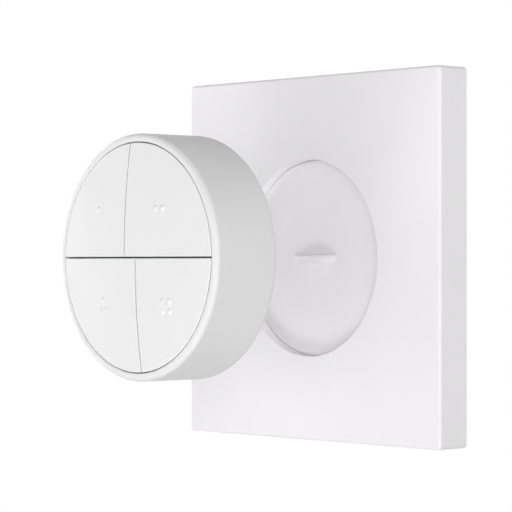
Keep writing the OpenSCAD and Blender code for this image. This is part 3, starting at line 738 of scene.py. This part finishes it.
# %% Rib
RIB_LENGTH = 14.0 * MM
RIB_HEIGHT = 2.0 * MM
RIB_WIDTH = 1.6 * MM
RIB_FLANK = 0.8 * MM
RIB_END_SOFTNESS = 0.4 * MM
RIB_ROOT = 0.3 * MM
RIB_SINK = 0.02 * MM
RIB_SMOOTH_ANGLE = 60.0
rib_radius = ((RIB_LENGTH / 2) ** 2 + RIB_HEIGHT ** 2) / (2 * RIB_HEIGHT)


def rib_rise(x, z):
    """Height of the rib over the floor of the dish."""
    arc = math.sqrt(rib_radius ** 2 - x * x) - rib_radius + RIB_HEIGHT
    run_out = max(0.0, 1.0 - abs(arc) / RIB_END_SOFTNESS)
    share = min(1.0, max(0.0, ((RIB_WIDTH + RIB_FLANK) / 2 - abs(z)) / RIB_FLANK))
    return (max(arc, 0.0) + RIB_END_SOFTNESS / 4 * run_out ** 2) * share ** 2 * (3 - 2 * share)


deselect()
bpy.ops.mesh.primitive_grid_add(x_subdivisions=96, y_subdivisions=36, size=1.0, rotation=(math.pi / 2, 0, 0),
                                location=(0, DISH_BOTTOM + RIB_ROOT, 0))
bpy.context.object.scale = (RIB_LENGTH + 2 * RIB_FLANK, RIB_WIDTH + 1.5 * RIB_FLANK, 1)
rib = start("docking_rib")
edit(rib)
bpy.ops.mesh.select_all(action="SELECT")
bpy.ops.mesh.extrude_region_move(TRANSFORM_OT_translate={"value": (0, -RIB_ROOT, 0)})
bpy.ops.object.mode_set(mode="OBJECT")
for vert in rib.data.vertices:
    if near(vert.co.y, DISH_BOTTOM):
        vert.co.y += RIB_SINK - rib_rise(vert.co.x, vert.co.z)
done(rib, plate_white, "shell_white", "wall_plate", smooth=RIB_SMOOTH_ANGLE)

# %% [markdown]
# ## Turned pieces
# The dial, the housing, the cover, the foot and the dots are round, so each is a small section that is
# spun about the object's axis. Stacked cylinders and booleans would give the same steps, but every
# rounded edge would have to be found again afterwards. The section starts as a circle with as many
# corners as the outline needs; its corners are put in place, those that are round on the real piece get a
# vertex bevel, and the spin closes it to a solid of revolution.

# %% Spin helpers


def section(name, outline):
    """A flat face with its corners at (radius, y), on the side of +X."""
    deselect()
    bpy.ops.mesh.primitive_circle_add(vertices=len(outline), radius=MM, fill_type="NGON")
    piece = start(name)
    for vert, (radius, y) in zip(piece.data.vertices, outline):
        vert.co = (radius, y, 0)
    return piece


def spin_section(name, outline, rounds, steps=TURN_STEPS, round_steps=5):
    """Spins an outline of (radius, y) corners about the object's axis. rounds gives a corner's radius."""
    piece = section(name, outline)
    edit(piece)
    for corner, size in rounds.items():
        radius, y = outline[corner]
        pick(piece, "VERT", lambda vert: near(vert.co.x, radius, MERGE_DISTANCE)
             and near(vert.co.y, y, MERGE_DISTANCE))
        bpy.ops.mesh.bevel(offset=size, segments=round_steps, affect="VERTICES")
    bpy.ops.mesh.select_all(action="SELECT")
    bpy.ops.mesh.delete(type="ONLY_FACE")
    if pick(piece, "EDGE", lambda edge: all(near(vert.co.x, 0) for vert in edge.verts)):
        bpy.ops.mesh.delete(type="EDGE")
    bpy.ops.mesh.select_all(action="SELECT")
    bpy.ops.mesh.spin(steps=steps, angle=2 * math.pi, center=(0, 0, 0), axis=(0, 1, 0))
    face_outwards()
    bpy.ops.object.mode_set(mode="OBJECT")
    return piece


# %% [markdown]
# ## Dial ring
# The dial is a plain ring with a narrow flat lip. Its lip has a soft outer edge and a crisp inner one,
# and its rear edge is nearly as soft. Inside, a flange keeps the ring on the control, with a groove for
# the magnetic ring. A tube with a bevel would show the same outside, but the one section also carries the
# flange.

# %% Dial
LIP_GAP = 0.2 * MM
LIP_OUTER_ROUND = 1.1 * MM
LIP_INNER_ROUND = 0.3 * MM
DIAL_REAR_ROUND = 0.9 * MM
FLANGE_WIDTH = 2.6 * MM
FLANGE_LOW = 2.45 * MM
FLANGE_HIGH = 4.85 * MM
GROOVE_PLAY = 0.05 * MM
POLE_WIDTH = 1.2 * MM
pole_high = node_box("pole_ring")[1]
lip_bore = CAP_RADIUS + LIP_GAP
flange_bore = lip_bore - FLANGE_WIDTH
flange_bottom = DIAL_REAR - FLANGE_LOW
flange_top = DIAL_REAR - FLANGE_HIGH
groove_out = pole_high.x + GROOVE_PLAY
groove_in = pole_high.x - POLE_WIDTH - GROOVE_PLAY
dial = spin_section(
    "dial",
    [
        (DIAL_RADIUS, DIAL_REAR), (DIAL_RADIUS, LIP_FRONT),
        (lip_bore, LIP_FRONT), (lip_bore, flange_top),
        (groove_out, flange_top), (groove_out, pole_high.y),
        (groove_in, pole_high.y), (groove_in, flange_top),
        (flange_bore, flange_top), (flange_bore, flange_bottom),
        (lip_bore, flange_bottom), (lip_bore, DIAL_REAR),
    ],
    {0: DIAL_REAR_ROUND, 1: LIP_OUTER_ROUND, 2: LIP_INNER_ROUND},
)
done(dial, shell_white, "shell_white", "dial", "dial_ring")

# %% [markdown]
# ## Button caps
# The four caps are one shallow dome that is cut by a straight level split and two upright splits that are
# set to either side of the middle. They could be sawn from a sphere, but its curved edges would bevel
# unevenly. So each cap starts as a block that a cylinder trims to the round field. Its face edges are
# softened while it is flat; then bisect cuts lay a fine net over it, and every point of the face moves
# out by the height of the dome over its place.

# %% Cap blank
CAP_SKIRT = 3.2 * MM
CAP_WALL = 1.6 * MM
CAP_EDGE_ROUND = 0.18 * MM
CAP_OVERLAP = 2.0 * MM


def cap_blank(name, edge_x, edge_z, side_x, side_z):
    """A flat cap from its two straight edges outwards: trimmed round, hollow below, face edges softened."""
    reach = CAP_RADIUS + CAP_OVERLAP
    middle = ((edge_x + side_x * reach) / 2, LIP_FRONT + CAP_SKIRT / 2, (edge_z + side_z * reach) / 2)
    size = (reach - side_x * edge_x, CAP_SKIRT, reach - side_z * edge_z)
    piece = block(name, middle, size)
    field = drum("field", CAP_RADIUS, LIP_FRONT - OVERCUT, LIP_FRONT + CAP_SKIRT + OVERCUT)
    cut(piece, field, "INTERSECT")
    edit(piece)
    pick(piece, "FACE", lambda face: face.normal.y > FACING)
    bpy.ops.mesh.inset(thickness=CAP_WALL)
    bpy.ops.mesh.extrude_region_move(TRANSFORM_OT_translate={"value": (0, CAP_WALL - CAP_SKIRT, 0)})
    pick(piece, "EDGE", lambda edge: edge_at_y(edge, LIP_FRONT))
    bpy.ops.mesh.bevel(offset=CAP_EDGE_ROUND, segments=4, affect="EDGES")
    return piece


# %% Dome
CROWN = 1.7 * MM
NET_STEP = 1.5 * MM
NET_SHIFT = 0.37
FACE_SLACK = 0.01 * MM
dome_radius = (CAP_RADIUS ** 2 + CROWN ** 2) / (2 * CROWN)


def dome_rise(x, z):
    """Height of the domed field over the lip at a place on the front."""
    return math.sqrt(dome_radius ** 2 - x * x - z * z) - dome_radius + CROWN


def raise_dome(piece):
    """Lays level and upright cuts over a cap in edit mode, then moves its face and wall out onto the dome."""
    count = int(CAP_RADIUS / NET_STEP)
    for step in range(-count, count + 1):
        place = (step + NET_SHIFT) * NET_STEP
        for normal in ((1, 0, 0), (0, 0, 1)):
            bpy.ops.mesh.select_all(action="SELECT")
            bpy.ops.mesh.bisect(plane_co=(place * normal[0], 0, place * normal[2]), plane_no=normal)
    bpy.ops.object.mode_set(mode="OBJECT")
    for vert in piece.data.vertices:
        if vert.co.y < LIP_FRONT + CAP_WALL + FACE_SLACK:
            vert.co.y -= dome_rise(vert.co.x, vert.co.z)


print(f"dome of {dome_radius / MM:.0f} mm radius")

# %% [markdown]
# ## Raised dots
# A dot is a low bump with a small radius at its foot, where the mould's cutter ran out. A squashed sphere
# would meet the cap in a hard line. So one dot is spun from its section and then copied to each place,
# tipped to stand square on the dome.

# %% Dot
DOT_RADIUS = 0.7 * MM
DOT_HEIGHT = 0.35 * MM
DOT_FOOT = 0.12 * MM
DOT_FOOT_ROUND = 0.1 * MM
DOT_SINK = 0.02 * MM
DOT_ROOT = 0.3 * MM
DOT_STEPS = 8
dot_arc = (DOT_RADIUS ** 2 + DOT_HEIGHT ** 2) / (2 * DOT_HEIGHT)
dot_outline = []
for step in range(DOT_STEPS + 1):
    radius = DOT_RADIUS * step / DOT_STEPS
    dot_outline.append((radius, -(math.sqrt(dot_arc ** 2 - radius ** 2) - dot_arc + DOT_HEIGHT)))
dot_outline.append((DOT_RADIUS + DOT_FOOT, DOT_SINK))
dot_outline += [(DOT_RADIUS + DOT_FOOT, DOT_ROOT), (0.0, DOT_ROOT)]
dot = spin_section("dot", dot_outline, {DOT_STEPS: DOT_FOOT_ROUND}, steps=32, round_steps=3)
print("dot of", len(dot.data.polygons), "faces")

# %% Copies of a piece


def twin(piece, name, move):
    """A copy of a piece with its own mesh, which a matrix puts in place."""
    copy = bpy.data.objects.new(name, piece.data.copy())
    bpy.context.scene.collection.objects.link(copy)
    copy.data.transform(move)
    return copy


def join(piece, parts):
    """Joins other objects into a piece."""
    deselect()
    for part in (*parts, piece):
        part.select_set(True)
    bpy.context.view_layer.objects.active = piece
    bpy.ops.object.join()


# %% Caps
CAP_SIDES = ((-1, 1), (1, 1), (-1, -1), (1, -1))
DOT_PLACES_MM = (
    ((-11.0, 10.0),),
    ((8.0, 10.0), (10.0, 10.0)),
    ((-9.2, -9.0), (-10.2, -11.0), (-8.2, -11.0)),
    ((10.0, -9.0), (12.0, -9.0), (10.0, -11.0), (12.0, -11.0)),
)


def stand_dot(x, z):
    """A copy of the dot, square on the dome at a place on the front."""
    outwards = Vector((x, 0, z)) / dome_radius
    outwards.y = -math.sqrt(1 - outwards.length_squared)
    turn = Vector((0, -1, 0)).rotation_difference(outwards).to_matrix().to_4x4()
    return twin(dot, "dot_copy", Matrix.Translation((x, LIP_FRONT - dome_rise(x, z), z)) @ turn)


for number, (side_x, side_z) in enumerate(CAP_SIDES, 1):
    low, high = node_box(f"button_cap_{number}")
    edge_x = high.x if side_x < 0 else low.x
    edge_z = low.z if side_z > 0 else high.z
    cap = cap_blank(f"cap_{number}", edge_x, edge_z, side_x, side_z)
    raise_dome(cap)
    join(cap, [stand_dot(x * MM, z * MM) for x, z in DOT_PLACES_MM[number - 1]])
    done(cap, cap_white, "cap_white", f"button_{number}", f"button_cap_{number}")
bpy.data.objects.remove(dot, do_unlink=True)

# %% [markdown]
# ## Rear housing
# Behind the dial sits the fixed housing. A low boss leads it into the dish, a flange closes the back of
# the dial, and a groove takes the rubber foot. All of that is round, so one section holds it, as for the
# dial. The three notches that let the cover's lugs in are slices of a ring, cut out afterwards.

# %% Housing
foot_low, foot_high = node_box("foot_ring")
cover_high = node_box("battery_cover")[1]
REAR_FACE = cover_high.y
BASE_FACE = REAR_FACE - 1.6 * MM
RACE_ROOF = REAR_FACE - 2.6 * MM
HOLDER_TOP = REAR_FACE - 5.55 * MM
FLANGE_REAR = DIAL_REAR - 0.4 * MM
FLANGE_FRONT = DIAL_REAR - 2.0 * MM
HUB_FRONT = DIAL_REAR - 5.0 * MM
RUN_CLEAR = 0.15 * MM
LUG_RADIUS = cover_high.z
OPENING_RADIUS = LUG_RADIUS - 1.0 * MM
BOSS_RADIUS = DISH_RADIUS - 0.4 * MM
FLANGE_RADIUS = lip_bore - RUN_CLEAR
HUB_RADIUS = flange_bore - RUN_CLEAR
HUB_BORE = HUB_RADIUS - 1.5 * MM
RACE_WALL = 1.0 * MM
RACE_RADIUS = LUG_RADIUS + RUN_CLEAR
HOLDER_RADIUS = 10.3 * MM
FOOT_WIDTH = 4.0 * MM
foot_bore = foot_high.x - FOOT_WIDTH
groove_floor = foot_low.y - GROOVE_PLAY
foot_groove_in = foot_bore - GROOVE_PLAY
foot_groove_out = foot_high.x + GROOVE_PLAY
OPENING_ROUND = 0.15 * MM
GROOVE_ROUND = 0.12 * MM
BOSS_ROUND = 0.5 * MM
BOSS_FOOT_ROUND = 0.25 * MM
FLANGE_ROUND = 0.15 * MM
housing = spin_section(
    "housing",
    [
        (OPENING_RADIUS, REAR_FACE), (foot_groove_in, REAR_FACE),
        (foot_groove_in, groove_floor), (foot_groove_out, groove_floor),
        (foot_groove_out, REAR_FACE), (BOSS_RADIUS, REAR_FACE),
        (BOSS_RADIUS, FLANGE_REAR), (FLANGE_RADIUS, FLANGE_REAR),
        (FLANGE_RADIUS, FLANGE_FRONT), (HUB_RADIUS, FLANGE_FRONT),
        (HUB_RADIUS, HUB_FRONT), (HUB_BORE, HUB_FRONT),
        (HUB_BORE, BASE_FACE), (RACE_RADIUS + RACE_WALL, BASE_FACE),
        (RACE_RADIUS + RACE_WALL, RACE_ROOF - RACE_WALL), (HOLDER_RADIUS + RACE_WALL, RACE_ROOF - RACE_WALL),
        (HOLDER_RADIUS + RACE_WALL, HOLDER_TOP), (HOLDER_RADIUS, HOLDER_TOP),
        (HOLDER_RADIUS, RACE_ROOF), (RACE_RADIUS, RACE_ROOF),
        (RACE_RADIUS, BASE_FACE), (OPENING_RADIUS, BASE_FACE),
    ],
    {0: OPENING_ROUND, 1: GROOVE_ROUND, 4: GROOVE_ROUND, 5: BOSS_ROUND, 6: BOSS_FOOT_ROUND, 7: FLANGE_ROUND},
)
print("housing of", len(housing.data.polygons), "faces")

# %% Notches of the housing
LUG_ANGLES = (90, 210, 330)
LUG_SPAN = 34
COVER_TURN = 40
NOTCH_SPAN = LUG_SPAN + 4
NOTCH_PLAY = 0.07 * MM
NOTCH_FLOOR_PLAY = 0.05 * MM


def ring_slice(name, bore, radius, y_out, y_in, middle, span):
    """A slice of a thick ring round the object's axis, about an angle that is counted from +X to +Z."""
    piece = section(name, ((bore, y_out), (radius, y_out), (radius, y_in), (bore, y_in)))
    edit(piece)
    bpy.ops.mesh.select_all(action="SELECT")
    bpy.ops.mesh.spin(steps=16, angle=math.radians(span), center=(0, 0, 0), axis=(0, 1, 0))
    face_outwards()
    bpy.ops.object.mode_set(mode="OBJECT")
    sum_x = sum(vert.co.x for vert in piece.data.vertices)
    sum_z = sum(vert.co.z for vert in piece.data.vertices)
    piece.data.transform(Matrix.Rotation(math.atan2(sum_z, sum_x) - math.radians(middle), 4, "Y"))
    return piece


for angle in LUG_ANGLES:
    notch = ring_slice("notch", OPENING_RADIUS - OVERCUT, LUG_RADIUS + NOTCH_PLAY,
                       BASE_FACE - NOTCH_FLOOR_PLAY, REAR_FACE + OVERCUT, angle - COVER_TURN, NOTCH_SPAN)
    cut(housing, notch, "DIFFERENCE")
done(housing, shell_white, "shell_white", "puck", "rear_housing")

# %% [markdown]
# ## Battery cover
# The cover is a round bayonet lid. A coin turns it by the slot, and the same slot takes the rib of the
# dish. The lid is spun. A box would cut a slot with square ends, so a thin disc cuts it, as a round
# cutter would do it, and three lugs are set on.

# %% Cover
COVER_DEPTH = 2.55 * MM
COVER_THICKNESS = 1.4 * MM
COVER_ROUND = 0.2 * MM
cover_radius = OPENING_RADIUS - RUN_CLEAR
cover_bore = cover_radius - RACE_WALL
cover_front = REAR_FACE - COVER_DEPTH
cover = spin_section(
    "cover",
    [
        (0.0, REAR_FACE), (cover_radius, REAR_FACE),
        (cover_radius, cover_front), (cover_bore, cover_front),
        (cover_bore, REAR_FACE - COVER_THICKNESS), (0.0, REAR_FACE - COVER_THICKNESS),
    ],
    {1: COVER_ROUND},
)
print("cover of", len(cover.data.polygons), "faces")

# %% Coin slot
SLOT_LENGTH = 15.2 * MM
SLOT_WIDTH = 2.2 * MM
SLOT_DEPTH = 1.9 * MM
SLOT_WALL = 0.7 * MM
SLOT_ROUND = 0.12 * MM
SLOT_STEPS = 256
PAD_STEP = 0.2 * MM
MOUTH_SLACK = 0.05 * MM
slot_radius = ((SLOT_LENGTH / 2) ** 2 + SLOT_DEPTH ** 2) / (2 * SLOT_DEPTH)
pad_size = (SLOT_LENGTH + 2 * SLOT_WALL, SLOT_DEPTH + SLOT_WALL - PAD_STEP, SLOT_WIDTH + 2 * SLOT_WALL)
pad_middle = (0, REAR_FACE - SLOT_DEPTH - SLOT_WALL + pad_size[1] / 2, 0)


def at_slot_mouth(edge):
    """True where an edge borders the mouth of the coin slot."""
    inside = all(
        abs(vert.co.x) < SLOT_LENGTH / 2 + MOUTH_SLACK and abs(vert.co.z) < SLOT_WIDTH / 2 + MOUTH_SLACK
        for vert in edge.verts
    )
    return inside and edge_at_y(edge, REAR_FACE)


cut(cover, block("slot_pad", pad_middle, pad_size), "UNION")
deselect()
bpy.ops.mesh.primitive_cylinder_add(vertices=SLOT_STEPS, radius=slot_radius, depth=SLOT_WIDTH,
                                    location=(0, REAR_FACE - SLOT_DEPTH + slot_radius, 0))
cut(cover, start("slot_cutter"), "DIFFERENCE")
edit(cover)
slot_edges = pick(cover, "EDGE", at_slot_mouth)
bpy.ops.mesh.bevel(offset=SLOT_ROUND, segments=3, affect="EDGES")
print("slot mouth of", slot_edges, "edges")

# %% Lugs of the cover
LUG_THICKNESS = 0.9 * MM
lugs = []
for angle in LUG_ANGLES:
    lugs.append(ring_slice(f"lug_{angle}", cover_radius - RACE_WALL / 2, LUG_RADIUS,
                           cover_front, cover_front + LUG_THICKNESS, angle, LUG_SPAN))
join(cover, lugs)
done(cover, shell_white, "shell_white", "cover", "battery_cover")

# %% [markdown]
# ## Rubber foot
# A flat rubber ring stands a little proud of the housing, so the control does not slip on a table. A
# torus would be round all over, but this ring is moulded flat with round edges, so it is spun from a
# small bar.

# %% Foot
FOOT_ROUND = 0.28 * MM
foot = spin_section(
    "foot",
    [
        (foot_bore, foot_low.y), (foot_high.x, foot_low.y),
        (foot_high.x, foot_high.y), (foot_bore, foot_high.y),
    ],
    {2: FOOT_ROUND, 3: FOOT_ROUND},
)
done(foot, rubber_grey, "rubber_grey", "puck", "foot_ring")

# %% [markdown]
# ## Back plate
# The back plate is screwed or stuck to the wall, and the front plate snaps onto it. It is a flat square
# with four screw holes on a cross, two shallow pockets for the adhesive strips, and two hooks on each
# side. An array modifier could repeat these round the middle, but the holes have to be cut one by one. So
# one screw hole and one hook are modelled and copied round the plate.

# %% Bracket with its holes
BACK_DEPTH = 2.2 * MM
BACK_ROUND = 0.25 * MM
SCREW_DISTANCE = 30.0 * MM
SCREW_RADIUS = 2.1 * MM
SCREW_HEAD_RADIUS = 3.6 * MM
HEAD_OVERCUT = 0.1 * MM
QUARTER_TURNS = (0, 90, 180, 270)
back_low, back_high = node_box("back_plate")
head_bottom = SCREW_HEAD_RADIUS - SCREW_RADIUS - BACK_DEPTH
head_top = -BACK_DEPTH - HEAD_OVERCUT
back = block("wall_bracket", (0, -BACK_DEPTH / 2, 0), (2 * back_high.x, BACK_DEPTH, 2 * back_high.z))
edit(back)
bpy.ops.mesh.select_all(action="SELECT")
bpy.ops.mesh.bevel(offset=BACK_ROUND, segments=3, affect="EDGES")
hole = spin_section(
    "screw_hole",
    [
        (0.0, OVERCUT), (SCREW_RADIUS, OVERCUT), (SCREW_RADIUS, head_bottom),
        (SCREW_HEAD_RADIUS + HEAD_OVERCUT, head_top), (0.0, head_top),
    ],
    {}, steps=48,
)
for angle in QUARTER_TURNS:
    turn = math.radians(angle)
    move = Matrix.Translation((SCREW_DISTANCE * math.cos(turn), 0, SCREW_DISTANCE * math.sin(turn)))
    cut(back, twin(hole, "screw_hole_copy", move), "DIFFERENCE")
bpy.data.objects.remove(hole, do_unlink=True)
print("bracket with", len(QUARTER_TURNS), "screw holes")

# %% Strip pockets
STRIP_WIDTH = 14.0 * MM
POCKET_PLAY = 0.1 * MM
POCKET_CUT = 2.0 * MM
strips_low, strips_high = node_box("adhesive_strips")
strip_middle = strips_high.x - STRIP_WIDTH / 2
pocket_size = (STRIP_WIDTH + POCKET_PLAY, POCKET_CUT, 2 * strips_high.z + POCKET_PLAY)
for side in (-1, 1):
    pocket_middle = (side * strip_middle, strips_low.y + POCKET_CUT / 2, 0)
    cut(back, block("strip_pocket", pocket_middle, pocket_size), "DIFFERENCE")
print("pockets", STRIP_WIDTH / MM, "mm wide")

# %% Snap hooks
HOOK_WIDTH = 8.0 * MM
HOOK_THICKNESS = 1.2 * MM
HOOK_GAP = 1.1 * MM
HOOK_ROOT = 0.3 * MM
HOOK_OFFSET = 20.0 * MM
BARB_REACH = 0.5 * MM
BARB_HEIGHT = 0.8 * MM
BARB_TIP = 0.05 * MM
hook_face = plate_high.x - PLATE_WALL - HOOK_GAP
hook_top = back_low.y
hook_foot = HOOK_ROOT - BACK_DEPTH
barb_bottom = hook_top + BARB_HEIGHT


def at_barb_tip(edge):
    """True where an edge is the outer top edge of the barb."""
    return edge_at_y(edge, hook_top) and all(near(vert.co.x, hook_face + BARB_REACH) for vert in edge.verts)


hook = block("hook", (hook_face - HOOK_THICKNESS / 2, (hook_foot + hook_top) / 2, 0),
             (HOOK_THICKNESS, hook_foot - hook_top, HOOK_WIDTH))
edit(hook)
bpy.ops.mesh.select_all(action="SELECT")
bpy.ops.mesh.bisect(plane_co=(0, barb_bottom, 0), plane_no=(0, 1, 0))
pick(hook, "FACE", lambda face: face.normal.x > FACING and face.calc_center_median().y < barb_bottom)
bpy.ops.mesh.extrude_region_move(TRANSFORM_OT_translate={"value": (BARB_REACH, 0, 0)})
pick(hook, "EDGE", at_barb_tip)
bpy.ops.transform.translate(value=(BARB_TIP - BARB_REACH, 0, 0))
deselect()
hooks = []
for angle in QUARTER_TURNS:
    for side in (-1, 1):
        turn = Matrix.Rotation(math.radians(angle), 4, "Y")
        hooks.append(twin(hook, "hook_copy", turn @ Matrix.Translation((0, 0, side * HOOK_OFFSET))))
bpy.data.objects.remove(hook, do_unlink=True)
print("bracket gets", len(hooks), "hooks")
join(back, hooks)
done(back, plate_white, "shell_white", "wall_plate", "back_plate")

# %% [markdown]
# ## Adhesive strips
# Two foam strips stick the plate to a smooth wall. They are thin bars, die-cut with round corners, and
# the edge on the wall side is a little soft. One is modelled, and the second is a copy of it. A mirror
# modifier would do as well, but a copy keeps the strips two separate pieces.

# %% Strips
STRIP_CORNER = 1.5 * MM
STRIP_EDGE = 0.15 * MM
strip = block("adhesive_foam_right", (strip_middle, (strips_low.y + strips_high.y) / 2, 0),
              (STRIP_WIDTH, strips_high.y - strips_low.y, 2 * strips_high.z))
edit(strip)
pick(strip, "EDGE", runs_back)
bpy.ops.mesh.bevel(offset=STRIP_CORNER, segments=6, affect="EDGES")
pick(strip, "EDGE", lambda edge: edge_at_y(edge, strips_high.y))
bpy.ops.mesh.bevel(offset=STRIP_EDGE, segments=3, affect="EDGES")
deselect()
other_strip = twin(strip, "adhesive_foam_left", Matrix.Translation((-2 * strip_middle, 0, 0)))
done(strip, adhesive_foam, "adhesive_foam", "wall_plate", "adhesive_strips")
done(other_strip, adhesive_foam, "adhesive_foam", "wall_plate", "adhesive_strips")

# %% [markdown]
# ## Finishes of the inner parts
# The inner parts could be modelled anew as well, but their CAD shapes are right as they are, so they keep
# them and get real finishes: plated steel with fine drawing streaks, a ferrite ring, gold-plated contact
# strips, a green board with traces, and black moulded chips.

# %% Finish the inner parts
INNER_FINISHES = {
    "keeper_ring": steel, "docking_magnets": magnet, "housing_screws": steel, "glide_ring": glide_plastic,
    "coin_cell": steel, "positive_contact": contact_metal, "negative_contact": contact_metal,
    "circuit_board": board, "radio_module": steel, "switch_bodies": chip_black,
    "chip_capacitors": chip_brown, "rotation_sensors": chip_black, "button_frame": inner_plastic,
    "pole_ring": ferrite, **{f"switch_plunger_{number}": inner_plastic for number in (1, 2, 3, 4)},
}
for name, material in INNER_FINISHES.items():
    for material_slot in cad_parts[name].material_slots:
        material_slot.material = material
print(len(INNER_FINISHES), "inner parts finished")
